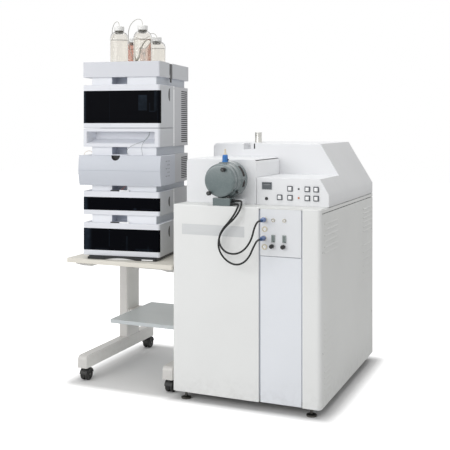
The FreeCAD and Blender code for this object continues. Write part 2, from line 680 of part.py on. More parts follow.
def source_cover():
    length = COVER_BACK - COVER_FRONT
    disc = rod((SOURCE_X, COVER_FRONT, SOURCE_Z), (0, 1, 0), COVER_RADIUS, length)
    front_edges = [e for e in disc.Edges if near(e.CenterOfMass.y, COVER_FRONT)]
    disc = disc.makeFillet(COVER_EDGE, front_edges)
    spigot = rod((SOURCE_X, COVER_BACK, SOURCE_Z), (0, 1, 0), SPIGOT_RADIUS, SPIGOT_LENGTH)
    disc = fused([disc, spigot])
    for dx, dz in KNOB_OFFSETS:
        disc = disc.cut(rod((SOURCE_X + dx, COVER_FRONT - 1, SOURCE_Z + dz), (0, 1, 0),
                            KNOB_SHAFT + SHAFT_GAP, length + SPIGOT_LENGTH + 2))
    return [disc]


def source_knob(dx, dz):
    back = COVER_FRONT - FACE_GAP if math.hypot(dx, dz) < COVER_RADIUS - COVER_EDGE else COVER_FRONT
    head = grip_knob(SOURCE_X + dx, back - KNOB_LENGTH, SOURCE_Z + dz, KNOB_RADIUS, KNOB_LENGTH)
    shaft = rod((SOURCE_X + dx, back - 1, SOURCE_Z + dz), (0, 1, 0), KNOB_SHAFT, COVER_BACK - back + 6)
    return [fused([head, shaft])]


def grip_knob(x, y, z, radius, length):
    # A round knob along Y with shallow finger flutes.
    knob = rod((x, y, z), (0, 1, 0), radius, length)
    front = [e for e in knob.Edges if near(e.CenterOfMass.y, y)]
    knob = knob.makeFillet(1.5, front)
    flutes = []
    for k in range(8):
        a = math.radians(45 * k)
        flutes.append(rod((x + (radius + 1.2) * math.cos(a), y + 2, z + (radius + 1.2) * math.sin(a)),
                          (0, 1, 0), 2.0, length))
    return knob.cut(Part.makeCompound(flutes))


def sprayer():
    base = SOURCE_Z + THROAT_RADIUS + 3
    x = SOURCE_X + 8
    shoulder = SPRAYER_TOP - 8
    body = revolved([(0, base), (SPRAYER_RADIUS, base), (SPRAYER_RADIUS, shoulder),
                     (SPRAYER_RADIUS - 4, SPRAYER_TOP), (0, SPRAYER_TOP)], (x, SPRAYER_Y, 0), (0, 0, 1))
    needle = rod((x, SPRAYER_Y, SOURCE_Z + 20), (0, 0, 1), 1.5, base - SOURCE_Z - 20)
    tip = revolved([(0, SPRAYER_TOP), (6, SPRAYER_TOP), (6, SPRAYER_TOP + 10), (3.5, SPRAYER_TOP + 14),
                    (2.5, SPRAYER_TIP_TOP), (0, SPRAYER_TIP_TOP)], (x, SPRAYER_Y, 0), (0, 0, 1))
    return [fused([body, needle]), tip]


# Control panel

def control_panel():
    outline = hood_outline(CONSOLE_LEFT, 0, DECK_TOP, CONSOLE_TOP)
    panel = slice_y(outline, CONSOLE_FRONT, CONSOLE_FRONT + CONSOLE_PANEL)
    panel = rounded(panel, 1.5, lambda m, d: near(m.y, CONSOLE_FRONT))
    half = SWITCH_BODY / 2 + FACE_GAP
    for x, z in SWITCH_PLACES:
        panel = panel.cut(box(x - half, x + half, CONSOLE_FRONT - 1, CONSOLE_FRONT + 9, z - half, z + half))
    return [panel]


def switch_bezels():
    bezels = []
    half = SWITCH_SIZE / 2
    body = SWITCH_BODY / 2
    clear = CAP_SIZE / 2 + FACE_GAP
    for x, z in SWITCH_PLACES:
        flange = box(x - half, x + half, CONSOLE_FRONT - SWITCH_PROUD, CONSOLE_FRONT, z - half, z + half)
        flange = rounded(flange, 2.0, lambda m, d: near(abs(d.y), 1))
        sleeve = box(x - body, x + body, CONSOLE_FRONT, CONSOLE_FRONT + 16, z - body, z + body)
        way = box(x - clear, x + clear, CONSOLE_FRONT - SWITCH_PROUD - 1, CONSOLE_FRONT + 13,
                  z - clear, z + clear)
        bezels.append(fused([flange, sleeve]).cut(way))
    return bezels


def button(x, z):
    half = CAP_SIZE / 2
    front = CONSOLE_FRONT - SWITCH_PROUD - CAP_PROUD
    cap = box(x - half, x + half, front, CONSOLE_FRONT + 9, z - half, z + half)
    return [rounded(cap, 1.2, lambda m, d: near(m.y, front))]


def panel_fittings():
    solids = []
    front = CONSOLE_FRONT
    x, z = DISPLAY_CENTRE
    w, h = DISPLAY_WIDTH / 2, DISPLAY_HEIGHT / 2
    solids.append(box(x - w, x + w, front - 3, front, z - h, z + h))
    x, z = JACK_CENTRE
    jack = rod((x, front - 3, z), (0, 1, 0), JACK_RADIUS, 3)
    solids.append(jack.cut(rod((x, front - 4, z), (0, 1, 0), JACK_RADIUS - 3, 4)))
    for z in (UPPER_ROW, LOWER_ROW):
        solids.append(rod((LAMP_X, front - 3, z), (0, 1, 0), LAMP_RADIUS, 3))
    front = CONNECTOR_SETBACK
    for x, z in RING_PLACES + [(px, pz) for px, pz in PLUG_PLACES]:
        flange = rod((x, front - 4, z), (0, 1, 0), RING_SOCKET_RADIUS, 4)
        solids.append(flange.cut(rod((x, front - 5, z), (0, 1, 0), RING_SOCKET_RADIUS - 4, 4)))
    for x, z in SMALL_PLACES:
        flange = rod((x, front - 4, z), (0, 1, 0), SMALL_SOCKET_RADIUS, 4)
        solids.append(flange.cut(rod((x, front - 5, z), (0, 1, 0), SMALL_SOCKET_RADIUS - 3, 4)))
    for x, z in METER_PLACES:
        w, h = METER_WIDTH / 2, METER_HEIGHT / 2
        frame = box(x - w, x + w, front - 5, front, z - h, z + h)
        frame = rounded(frame, 1.5, lambda m, d: near(m.y, front - 5))
        solids.append(frame.cut(box(x - w + 4, x + w - 4, front - 6, front - 3, z - h + 4, z + h - 4)))
    return solids


def valve_knob(x, z):
    back = CONNECTOR_SETBACK - FACE_GAP
    knob = grip_knob(x, back - VALVE_LENGTH, z, VALVE_RADIUS, VALVE_LENGTH)
    shaft = rod((x, back - 1, z), (0, 1, 0), VALVE_SHAFT, SHEET + 6)
    return [fused([knob, shaft])]


# Vacuum and electronics inside

def vacuum_chamber():
    block = box(CHAMBER_LEFT, CHAMBER_RIGHT, CHAMBER_FRONT, CHAMBER_BACK, DECK_TOP, CHAMBER_TOP)
    block = block.cut(rod((SOURCE_X, CHAMBER_FRONT - 1, SOURCE_Z), (0, 1, 0), ENTRY_RADIUS, ENTRY_DEPTH))
    skin = CHAMBER_SKIN
    block = block.cut(box(CHAMBER_LEFT + skin, CHAMBER_RIGHT - skin, CHAMBER_FRONT + HOLLOW_START,
                          CHAMBER_BACK - skin, DECK_TOP + skin, CHAMBER_TOP - skin))
    rim = ENTRY_RADIUS - 1
    cone = revolved([(0, -20), (2, -20), (16, 6), (rim, 6), (rim, 16), (0, 16)],
                    (SOURCE_X, CHAMBER_FRONT + 20, SOURCE_Z), (0, 1, 0))
    return [fused([block, cone])] + [turbo_pump(y) for y in TURBO_YS]


def turbo_pump(y):
    # Flange at the top, finned barrel and the narrower motor end.
    bottom = DECK_TOP - TURBO_LENGTH
    barrel = TURBO_RADIUS - 8
    motor = TURBO_RADIUS - 22
    profile = [(0, bottom), (motor, bottom), (motor, bottom + 40), (barrel, bottom + 50),
               (barrel, DECK_TOP - 24), (TURBO_RADIUS, DECK_TOP - 18), (TURBO_RADIUS, DECK_TOP), (0, DECK_TOP)]
    return revolved(profile, (TURBO_X, y, 0), (0, 0, 1))


def drawer(z):
    # One crate of power supplies and boards, with cooling fins across its front.
    crate = box(RACK_LEFT + RAIL, RACK_RIGHT - RAIL, RACK_FRONT, RACK_BACK, z, z + DRAWER_HEIGHT)
    count = int((RACK_RIGHT - RACK_LEFT - 2 * FIN_MARGIN - RAIL) / FIN_PITCH)
    gaps = []
    for n in range(count):
        x = RACK_LEFT + RAIL + FIN_MARGIN + FIN_PITCH * n
        gaps.append(box(x, x + FIN_PITCH / 2, RACK_FRONT - 1, RACK_FRONT + FIN_DEPTH,
                        z + RAIL, z + DRAWER_HEIGHT - RAIL))
    return crate.cut(Part.makeCompound(gaps))


def electronics_rack():
    # Three drawers on rails that stand on the base pan, and the roughing pump beside them.
    bottom = CABINET_BOTTOM + PAN_THICK
    solids = []
    for x in (RACK_LEFT, RACK_RIGHT - RAIL):
        for y in (RACK_FRONT, RACK_BACK - RAIL):
            solids.append(box(x, x + RAIL, y, y + RAIL, bottom, bottom + RAIL_HEIGHT))
    for k in range(DRAWER_COUNT):
        solids.append(drawer(bottom + DRAWER_START + DRAWER_PITCH * k))
    roughing = box(ROUGHING_LEFT, ROUGHING_RIGHT, ROUGHING_FRONT, ROUGHING_BACK,
                   bottom, bottom + ROUGHING_HEIGHT)
    middle = (ROUGHING_LEFT + ROUGHING_RIGHT) / 2
    motor = rod((middle, ROUGHING_BACK, bottom + MOTOR_HEIGHT), (0, 1, 0), MOTOR_RADIUS, MOTOR_LENGTH)
    foot = box(middle - 30, middle + 30, ROUGHING_BACK + 20, ROUGHING_BACK + MOTOR_LENGTH - 20,
               bottom, bottom + MOTOR_HEIGHT - 30)
    solids.append(fused([roughing, motor, foot]))
    return solids


# Table

def tabletop():
    top = box(TABLE_LEFT, TABLE_RIGHT, TABLE_FRONT, TABLE_FRONT + TABLE_DEPTH,
              TABLE_TOP - TABLE_THICK, TABLE_TOP)
    top = rounded(top, 6.0, lambda m, d: near(abs(d.z), 1))
    return [rounded(top, 2.0, lambda m, d: near(m.z, TABLE_TOP))]


def leg_beam(x):
    # The foot beam with its rounded ends and the two stud sockets for the castors.
    beam = box(x, x + LEG_WIDTH, BEAM_FRONT, BEAM_BACK, BEAM_BOTTOM, BEAM_BOTTOM + BEAM_HEIGHT)
    beam = rounded(beam, 20.0, lambda m, d: near(abs(d.x), 1) and near(m.z, BEAM_BOTTOM + BEAM_HEIGHT))
    beam = rounded(beam, 3.0, lambda m, d: near(abs(d.y), 1) and near(m.z, BEAM_BOTTOM + BEAM_HEIGHT))
    for y in CASTOR_YS:
        socket = rod((x + LEG_WIDTH / 2, y, BEAM_BOTTOM - 1), (0, 0, 1),
                     STUD_RADIUS + SHAFT_GAP, STUD_LENGTH + 2)
        beam = beam.cut(socket)
    return beam


def leg_arm(x):
    # The arm under the top tapers upwards at its front end.
    top = TABLE_TOP - TABLE_THICK
    low = top - ARM_HEIGHT
    outline = [(x, ARM_FRONT, top), (x, ARM_FRONT, top - 12), (x, ARM_FRONT + 60, low), (x, ARM_BACK, low),
               (x, ARM_BACK, top)]
    return prism(outline, (LEG_WIDTH, 0, 0))


def table_frame():
    solids = []
    top = TABLE_TOP - TABLE_THICK
    for x in LEG_XS:
        solids.append(leg_beam(x))
        post = box(x, x + LEG_WIDTH, POST_FRONT, POST_FRONT + POST_DEPTH,
                   BEAM_BOTTOM + BEAM_HEIGHT, top - ARM_HEIGHT)
        post = rounded(post, 8.0, lambda m, d: near(abs(d.z), 1))
        solids.append(post)
        solids.append(leg_arm(x))
    inner_left = LEG_XS[0] + LEG_WIDTH
    inner_right = LEG_XS[1]
    middle = POST_FRONT + POST_DEPTH / 2
    for low in (top - ARM_HEIGHT - STRETCHER_HEIGHT - 10, SHELF_TOP - SHELF_THICK - STRETCHER_HEIGHT):
        solids.append(box(inner_left, inner_right, middle - STRETCHER_THICK / 2, middle + STRETCHER_THICK / 2,
                          low, low + STRETCHER_HEIGHT))
    for x0, x1 in ((inner_left, inner_left + SHELF_END_GAP), (inner_right - SHELF_END_GAP, inner_right)):
        solids.append(box(x0, x1, POST_FRONT + 8, POST_FRONT + POST_DEPTH - 8,
                          SHELF_TOP - SHELF_THICK, SHELF_TOP))
    return solids


def lower_shelf():
    x0 = LEG_XS[0] + LEG_WIDTH + SHELF_END_GAP
    x1 = LEG_XS[1] - SHELF_END_GAP
    shelf = box(x0, x1, SHELF_FRONT, SHELF_BACK, SHELF_TOP - SHELF_THICK, SHELF_TOP)
    return [rounded(shelf, 5.0, lambda m, d: near(abs(d.z), 1))]


def castor_fork(x, y):
    # Central web, half-round hood over both wheels and the stud that turns in the beam.
    axle_y = y + CASTOR_TRAIL
    centre = (x, axle_y, WHEEL_RADIUS)
    hood_radius = WHEEL_RADIUS + 1.0
    half = WEB_THICK / 2 + WHEEL_WIDTH + 2 * FACE_GAP
    hood = rod((x - half, axle_y, WHEEL_RADIUS), (1, 0, 0), hood_radius + HOOD_THICK, 2 * half)
    hood = hood.cut(rod((x - half - 1, axle_y, WHEEL_RADIUS), (1, 0, 0), hood_radius, 2 * half + 2))
    hood = hood.cut(box(x - 60, x + 60, axle_y - 60, axle_y + 60, -10, WHEEL_RADIUS + 4))
    web = rod((x - WEB_THICK / 2, axle_y, WHEEL_RADIUS), (1, 0, 0), hood_radius + 1, WEB_THICK)
    web = web.cut(box(x - 60, x + 60, axle_y - 60, axle_y + 60, -10, WHEEL_RADIUS - 12))
    collar_top = BEAM_BOTTOM - FACE_GAP
    collar = rod((x, y, WHEEL_RADIUS + 20), (0, 0, 1), 9, collar_top - WHEEL_RADIUS - 20)
    stud = rod((x, y, collar_top - 1), (0, 0, 1), STUD_RADIUS, STUD_LENGTH)
    fork = fused([hood, web, collar, stud])
    for side in (-1, 1):
        start = x + side * (WEB_THICK / 2)
        fork = fork.cut(rod((start, axle_y, WHEEL_RADIUS), (side, 0, 0), hood_radius, WHEEL_WIDTH + 6))
    return [fork.cut(rod((x - 30, centre[1], centre[2]), (1, 0, 0), AXLE_RADIUS + SHAFT_GAP, 60))]


def castor_wheel(x, y):
    axle_y = y + CASTOR_TRAIL
    inner = WEB_THICK / 2 + FACE_GAP
    wheels = []
    for side in (-1, 1):
        profile = [(0, inner), (WHEEL_RADIUS - 1.5, inner), (WHEEL_RADIUS, inner + 1.5),
                   (WHEEL_RADIUS, inner + WHEEL_WIDTH - 3), (WHEEL_RADIUS - 3, inner + WHEEL_WIDTH),
                   (WHEEL_RADIUS - 8, inner + WHEEL_WIDTH), (WHEEL_RADIUS - 10, inner + WHEEL_WIDTH - 2),
                   (8, inner + WHEEL_WIDTH - 2), (6, inner + WHEEL_WIDTH), (0, inner + WHEEL_WIDTH)]
        wheels.append(revolved(profile, (x, axle_y, WHEEL_RADIUS), (side, 0, 0)))
    axle = rod((x - inner - 2, axle_y, WHEEL_RADIUS), (1, 0, 0), AXLE_RADIUS, 2 * inner + 4)
    return [fused(wheels + [axle])]


# Module stack, drawn in its own frame: X along its front, Y into its depth, Z from the table top

def neck(bottom, top):
    # The narrower plinth between two modules, with the open hollow at its middle.
    plinth = box(NECK_LEFT, MODULE_WIDTH - NECK_RIGHT, NECK_FRONT, MODULE_DEPTH - 10, bottom, top)
    hollow = box(MODULE_WIDTH * 0.37, MODULE_WIDTH * 0.57, NECK_FRONT - 1, NECK_FRONT + 60, bottom + 4, top + 1)
    return plinth.cut(hollow)


def rear_case(bottom, top, slots):
    # Metal case behind the light strip; its louvres run round both rear corners.
    case = box(CASE_INSET, MODULE_WIDTH - CASE_INSET, COVER_DEPTH + STRIP_DEPTH, MODULE_DEPTH, bottom, top)
    if slots:
        cuts = []
        pitch = (top - bottom - 30) / slots
        for k in range(slots):
            z = bottom + 15 + pitch * (k + 0.25)
            for x0, x1 in ((0, CASE_INSET + 3), (MODULE_WIDTH - CASE_INSET - 3, MODULE_WIDTH)):
                cuts.append(box(x0, x1, MODULE_DEPTH - 105, MODULE_DEPTH - 12, z, z + pitch / 2))
        case = case.cut(Part.makeCompound(cuts))
    return case


def bulkhead(bottom, top):
    strip = box(0, MODULE_WIDTH, COVER_DEPTH + FACE_GAP, COVER_DEPTH + STRIP_DEPTH, bottom, top)
    return rounded(strip, 2.0, lambda m, d: near(abs(d.z), 1))


def drip_floor(bottom):
    return box(CAVITY, MODULE_WIDTH - CAVITY, COVER_ROUND, COVER_DEPTH + FACE_GAP + 1,
               bottom + CAVITY, bottom + CAVITY + 4)


def cover_and_window(bottom, top, window, wrap, left_wrap, grip):
    # A moulded cover, open at the back, and the smoked window that fills a band of its front.
    shell = box(0, MODULE_WIDTH, 0, COVER_DEPTH, bottom, top)
    shell = rounded(shell, COVER_ROUND, lambda m, d: near(abs(d.z), 1) and near(m.y, 0))
    shell = rounded(shell, 3.0, lambda m, d: m.y < COVER_ROUND and (near(m.z, top) or near(m.z, bottom))
                    and m.y < COVER_DEPTH / 3)
    inner = COVER_ROUND - COVER_WALL
    hollow = box(COVER_WALL, MODULE_WIDTH - COVER_WALL, COVER_WALL, COVER_DEPTH + 1,
                 bottom + COVER_WALL, top - COVER_WALL)
    hollow = rounded(hollow, inner, lambda m, d: near(abs(d.z), 1) and near(m.y, COVER_WALL))
    shell = shell.cut(hollow)
    pane = shell.common(window_band(*window, wrap, left_wrap, 0))
    shell = shell.cut(window_band(*window, wrap, left_wrap, WINDOW_GAP))
    seam_x = MODULE_WIDTH * SEAM_SHARE
    shell = shell.cut(box(seam_x - 0.6, seam_x + 0.6, -1, 0.8, bottom - 1, top + 1))
    for x in (-1, MODULE_WIDTH - COVER_WALL - 1):
        shell = shell.cut(half_oval(x, *grip, COVER_WALL + 2))
    cups = []
    for x in (COVER_WALL, MODULE_WIDTH - COVER_WALL - 2):
        cup = box(x, x + 2, GRIP_BACK - GRIP_DEPTH - GRIP_CUP, GRIP_BACK + GRIP_CUP,
                  grip[0] - GRIP_CUP, grip[1] + GRIP_CUP)
        cups.append(cup)
    return [shell, pane] + cups


def window_band(low, high, wrap, left_wrap, grow):
    # What the window takes of a cover: its whole front band and a little of both sides.
    left = box(-1, MODULE_WIDTH / 2, -1, left_wrap + grow, low - grow, high + grow)
    right = box(MODULE_WIDTH / 2 - 1, MODULE_WIDTH + 1, -1, wrap + grow, low - grow, high + grow)
    return left.fuse(right)


def half_oval(x, low, high, length):
    # The finger hold: straight at the back and bowed towards the front.
    start = Vec(x, GRIP_BACK, low)
    end = Vec(x, GRIP_BACK, high)
    middle = Vec(x, GRIP_BACK - GRIP_DEPTH, (low + high) / 2)
    wire = Part.Wire([Part.Arc(start, middle, end).toShape(), Part.makeLine(end, start)])
    return Part.Face(wire).extrude(Vec(length, 0, 0))


def pump_case():
    body = fused([rear_case(PUMP_BOTTOM, PUMP_TOP, 0), bulkhead(PUMP_BOTTOM, PUMP_TOP),
                  drip_floor(PUMP_BOTTOM)])
    solids = [body, pump_base()]
    front = COVER_DEPTH + FACE_GAP
    middle = (PUMP_BOTTOM + PUMP_TOP) / 2
    for x in (90.0, 170.0):
        head = rod((x, front - 95, middle), (0, 1, 0), 24, 95)
        nose = rod((x, front - 125, middle), (0, 1, 0), 15, 32)
        valve = rod((x, front - 75, middle - 40), (0, 0, 1), 7, 80)
        solids.append(fused([head, nose, valve]))
    solids.append(rod((270, front - 60, middle + 10), (0, 1, 0), 32, 60))
    solids.append(box(320, 352, front - 70, front, middle - 45, middle + 35))
    return solids


def pump_base():
    # Black wavy base: low feet at both ends and a shallow arch between them.
    y0, y1 = 2.0, MODULE_DEPTH - 10
    points = [Vec(30, y0, 3), Vec(118, y0, 0), Vec(185, y0, 9), Vec(262, y0, 0), Vec(366, y0, 0)]
    edges = [Part.makeLine(Vec(30, y0, PUMP_BASE), Vec(30, y0, 0)), Part.makeLine(Vec(30, y0, 0), points[1]),
             Part.Arc(points[1], points[2], points[3]).toShape(), Part.makeLine(points[3], points[4]),
             Part.makeLine(points[4], Vec(366, y0, PUMP_BASE)),
             Part.makeLine(Vec(366, y0, PUMP_BASE), Vec(30, y0, PUMP_BASE))]
    return Part.Face(Part.Wire(edges)).extrude(Vec(0, y1 - y0, 0))


def pump_cover():
    return cover_and_window(PUMP_BOTTOM, PUMP_TOP, (PUMP_BOTTOM + 25, PUMP_TOP - 26), WINDOW_WRAP, WINDOW_WRAP,
                            (PUMP_BOTTOM + 78, PUMP_BOTTOM + 130))


def degasser_case():
    body = fused([rear_case(DEGASSER_BOTTOM, DEGASSER_TOP, 0), bulkhead(DEGASSER_BOTTOM, DEGASSER_TOP),
                  drip_floor(DEGASSER_BOTTOM)])
    solids = [body, neck(PUMP_TOP, DEGASSER_BOTTOM)]
    front = COVER_DEPTH + FACE_GAP
    middle = (DEGASSER_BOTTOM + DEGASSER_TOP) / 2
    for k in range(4):
        x = 60 + 75 * k
        solids.append(box(x, x + 55, front - 120, front, middle - 30, middle + 30))
    return solids


def degasser_cover():
    return cover_and_window(DEGASSER_BOTTOM, DEGASSER_TOP, (DEGASSER_BOTTOM + 22, DEGASSER_TOP - 28),
                            WINDOW_WRAP, WINDOW_WRAP, (DEGASSER_BOTTOM + 32, DEGASSER_BOTTOM + 80))


def oven_case():
    # The column oven is a little wider, with columns clipped to a heated block behind its flap.
    left, right = -OVEN_EXTRA, MODULE_WIDTH + OVEN_EXTRA
    front = box(left, right, 0, COVER_DEPTH, OVEN_BOTTOM, OVEN_TOP)
    front = rounded(front, 3.0, lambda m, d: near(abs(d.y), 1) and near(m.z, OVEN_TOP))
    chamber = box(left + 14, right - 14, -1, 120, OVEN_BOTTOM + 14, OVEN_TOP - 14)
    front = front.cut(chamber)
    for y, count in ((70.0, 3), (95.0, 5), (112.0, 5)):
        for k in range(count):
            z = OVEN_BOTTOM + 42 + (OVEN_HEIGHT - 70) * k / (count - 1)
            hole = rod((left - 1, y, z), (1, 0, 0), 3.0, right - left + 2)
            front = front.cut(hole)
    strip = box(0, MODULE_WIDTH, COVER_DEPTH, COVER_DEPTH + STRIP_DEPTH, OVEN_BOTTOM, OVEN_TOP)
    knuckles = [hinge_knuckle(x) for x in hinge_places()]
    body = fused([front, strip, rear_case(OVEN_BOTTOM, OVEN_TOP, 12)] + knuckles)
    solids = [body, neck(DEGASSER_TOP, OVEN_BOTTOM)]
    middle = (OVEN_BOTTOM + OVEN_TOP) / 2
    block = box(40, 338, 70, 120, middle - 40, middle + 40)
    solids.append(block)
    for k in range(2):
        z = middle - 20 + 40 * k
        column = revolved([(0, 0), (7, 0), (7, 22), (5, 22), (5, 208), (7, 208), (7, 230), (0, 230)],
                          (75, 52, z), (1, 0, 0))
        clip = box(120, 132, 45, 70, z - 9, z + 9).cut(rod((119, 52, z), (1, 0, 0), 5.2, 14))
        solids += [column, clip]
    return solids


def flap_arc(y_top, y_middle, y_bottom, low, high):
    middle = (low + high) / 2
    return Part.Arc(Vec(0, y_top, high), Vec(0, y_middle, middle), Vec(0, y_bottom, low)).toShape()


def hinge_places():
    # Where the two knuckles of the flap's hinge start along its width.
    return [KNUCKLE_INSET, MODULE_WIDTH - KNUCKLE_INSET - KNUCKLE_LENGTH]


def hinge_knuckle(x):
    # A leaf of the oven case that reaches forward to the pin, with the pin's hole through its round end.
    z = OVEN_BOTTOM + HINGE_RISE
    barrel = rod((x, HINGE_Y, z), (1, 0, 0), KNUCKLE_RADIUS, KNUCKLE_LENGTH)
    leaf = box(x, x + KNUCKLE_LENGTH, HINGE_Y, 1, z - KNUCKLE_RADIUS, z)
    hole = rod((x - 1, HINGE_Y, z), (1, 0, 0), HINGE_PIN + SHAFT_GAP, KNUCKLE_LENGTH + 2)
    return barrel.fuse(leaf).cut(hole)


def hinge_notch(x):
    # Room for a knuckle in the flap's back; the flap's front skin stays whole.
    front = HINGE_Y - KNUCKLE_RADIUS - FACE_GAP - 0.1
    return box(x - FACE_GAP, x + KNUCKLE_LENGTH + FACE_GAP, front, 1,
               OVEN_BOTTOM - 1, OVEN_BOTTOM + KNUCKLE_NOTCH)


def oven_flap():
    # A bowed flap, hinged along its bottom edge, with a half-moon hold at its top edge.
    low, high = OVEN_BOTTOM + FACE_GAP, OVEN_TOP
    back = -FACE_GAP
    left = -OVEN_EXTRA - 4
    width = MODULE_WIDTH + 2 * OVEN_EXTRA + 8
    outer = flap_arc(-FLAP_THICK - 3, -FLAP_BULGE, -FLAP_THICK, low, high)
    # The bottom edge is chamfered at the back, so that it swings clear of the case.
    corners = [Vec(0, -FLAP_THICK, low), Vec(0, back - FLAP_CHAMFER, low), Vec(0, back, low + FLAP_CHAMFER),
               Vec(0, back, high), Vec(0, -FLAP_THICK - 3, high)]
    edges = [outer] + [Part.makeLine(a, b) for a, b in zip(corners, corners[1:])]
    flap = Part.Face(Part.Wire(edges)).extrude(Vec(width, 0, 0))
    flap.translate(Vec(left, 0, 0))
    middle = (low + high) / 2
    flap = flap.cut(box(left - 1, left + width + 1, -FLAP_BULGE - 2, -FLAP_BULGE + 0.7,
                        middle - 0.5, middle + 0.5))
    hollow = box(left + 6, left + width - 6, -FLAP_THICK + 4, 1, low + 8, high - 30)
    flap = flap.cut(hollow)
    grip_x = MODULE_WIDTH * 0.45
    start = Vec(grip_x - FLAP_GRIP_WIDTH / 2, -FLAP_BULGE - 1, high + 1)
    end = Vec(grip_x + FLAP_GRIP_WIDTH / 2, -FLAP_BULGE - 1, high + 1)
    bow = Vec(grip_x, -FLAP_BULGE - 1, high - FLAP_GRIP_DEPTH)
    wire = Part.Wire([Part.Arc(start, bow, end).toShape(), Part.makeLine(end, start)])
    flap = flap.cut(Part.Face(wire).extrude(Vec(0, FLAP_BULGE - 5, 0)))
    pins = []
    for x in hinge_places():
        flap = flap.cut(hinge_notch(x))
        pins.append(rod((x - FACE_GAP - 1, HINGE_Y, OVEN_BOTTOM + HINGE_RISE), (1, 0, 0),
                        HINGE_PIN, KNUCKLE_LENGTH + 2 * FACE_GAP + 2))
    return [fused([flap] + pins)]


def sampler_case():
    # Lower front with the sloped hand recess, and the carriage and vials behind the upper window.
    split = SAMPLER_BOTTOM + SAMPLER_SPLIT
    lower = box(0, MODULE_WIDTH, 0, COVER_DEPTH + STRIP_DEPTH, SAMPLER_BOTTOM, split)
    lower = rounded(lower, COVER_ROUND, lambda m, d: near(abs(d.z), 1) and near(m.y, 0))
    low, high = SAMPLER_BOTTOM + RECESS_BOTTOM, SAMPLER_BOTTOM + RECESS_TOP
    x0, x1 = 18.0, MODULE_WIDTH - 24.0
    mouth = Part.makePolygon([Vec(x0, -0.5, low), Vec(x1, -0.5, low), Vec(x1, -0.5, high), Vec(x0, -0.5, high),
                              Vec(x0, -0.5, low)])
    deep = Part.makePolygon([Vec(x0 + 22, RECESS_DEPTH, low + 22), Vec(x1 - 3, RECESS_DEPTH, low + 22),
                             Vec(x1 - 3, RECESS_DEPTH, high - 2), Vec(x0 + 22, RECESS_DEPTH, high - 2),
                             Vec(x0 + 22, RECESS_DEPTH, low + 22)])
    lower = lower.cut(Part.makeLoft([mouth, deep], True, True))
    upper = fused([bulkhead(split, SAMPLER_TOP), rear_case(SAMPLER_BOTTOM, SAMPLER_TOP, 26)])
    body = fused([lower, upper, drip_floor(split + SAMPLER_SEAM)])
    solids = [body, neck(OVEN_TOP, SAMPLER_BOTTOM)]
    inside = split + SAMPLER_SEAM
    floor = inside + CAVITY + 4
    tray = box(50, 230, 40, 150, floor, floor + 22)
    vials = []
    for i in range(VIAL_COLUMNS):
        for j in range(VIAL_ROWS):
            vials.append(rod((66 + VIAL_PITCH * i, 60 + VIAL_PITCH * j, floor + 6), (0, 0, 1), 10, 20))
    solids.append(fused([tray] + vials))
    front = COVER_DEPTH + FACE_GAP
    rail = box(40, 340, front - 30, front, SAMPLER_TOP - 60, SAMPLER_TOP - 40)
    arm = box(250, 280, front - 120, front - 30, SAMPLER_TOP - 70, SAMPLER_TOP - 30)
    needle = rod((265, front - 105, floor + 50), (0, 0, 1), 3, SAMPLER_TOP - 70 - floor - 50)
    solids.append(fused([rail, arm, needle]))
    solids.append(box(285, 350, 90, front, floor, floor + 90))
    return solids


def sampler_cover():
    bottom = SAMPLER_BOTTOM + SAMPLER_SPLIT + SAMPLER_SEAM
    return cover_and_window(bottom, SAMPLER_TOP, (bottom + 22, SAMPLER_TOP - 27), SAMPLER_WRAP, WINDOW_WRAP,
                            (SAMPLER_TOP - 74, SAMPLER_TOP - 12))


def solvent_tray():
    outer = box(0, MODULE_WIDTH, 0, MODULE_DEPTH, TRAY_BOTTOM, TRAY_TOP)
    outer = rounded(outer, 6.0, lambda m, d: near(abs(d.z), 1))
    inner = box(TRAY_WALL, MODULE_WIDTH - TRAY_WALL, TRAY_WALL, MODULE_DEPTH - TRAY_WALL,
                TRAY_BOTTOM + TRAY_FLOOR, TRAY_TOP + 1)
    tray = outer.cut(inner)
    hold = box(-1, MODULE_WIDTH + 1, STRAP_FRONT - 16, STRAP_FRONT + 26, TRAY_BOTTOM + 14, TRAY_TOP + 1)
    tray = tray.cut(hold)
    straps = []
    strap_back = STRAP_FRONT + STRAP_WIDTH
    for x in (0.5, MODULE_WIDTH - 0.5 - STRAP_THICK):
        straps.append(box(x, x + STRAP_THICK, STRAP_FRONT, strap_back, TRAY_BOTTOM - 10, TRAY_TOP - 4))
        tray = tray.cut(box(x - 1, x + STRAP_THICK + 1, STRAP_FRONT - FACE_GAP, strap_back + FACE_GAP,
                            TRAY_BOTTOM - 1, TRAY_BOTTOM + 15))
    floor = TRAY_BOTTOM + TRAY_FLOOR
    grommet = rod((GROMMET[0], GROMMET[1], floor), (0, 0, 1), 14, GROMMET_HEIGHT)
    side_grommet = rod((SIDE_GROMMET[0], SIDE_GROMMET[1], floor), (0, 0, 1), 6, GROMMET_HEIGHT)
    return [fused([tray, grommet, side_grommet])] + straps + [neck(SAMPLER_TOP, TRAY_BOTTOM)]


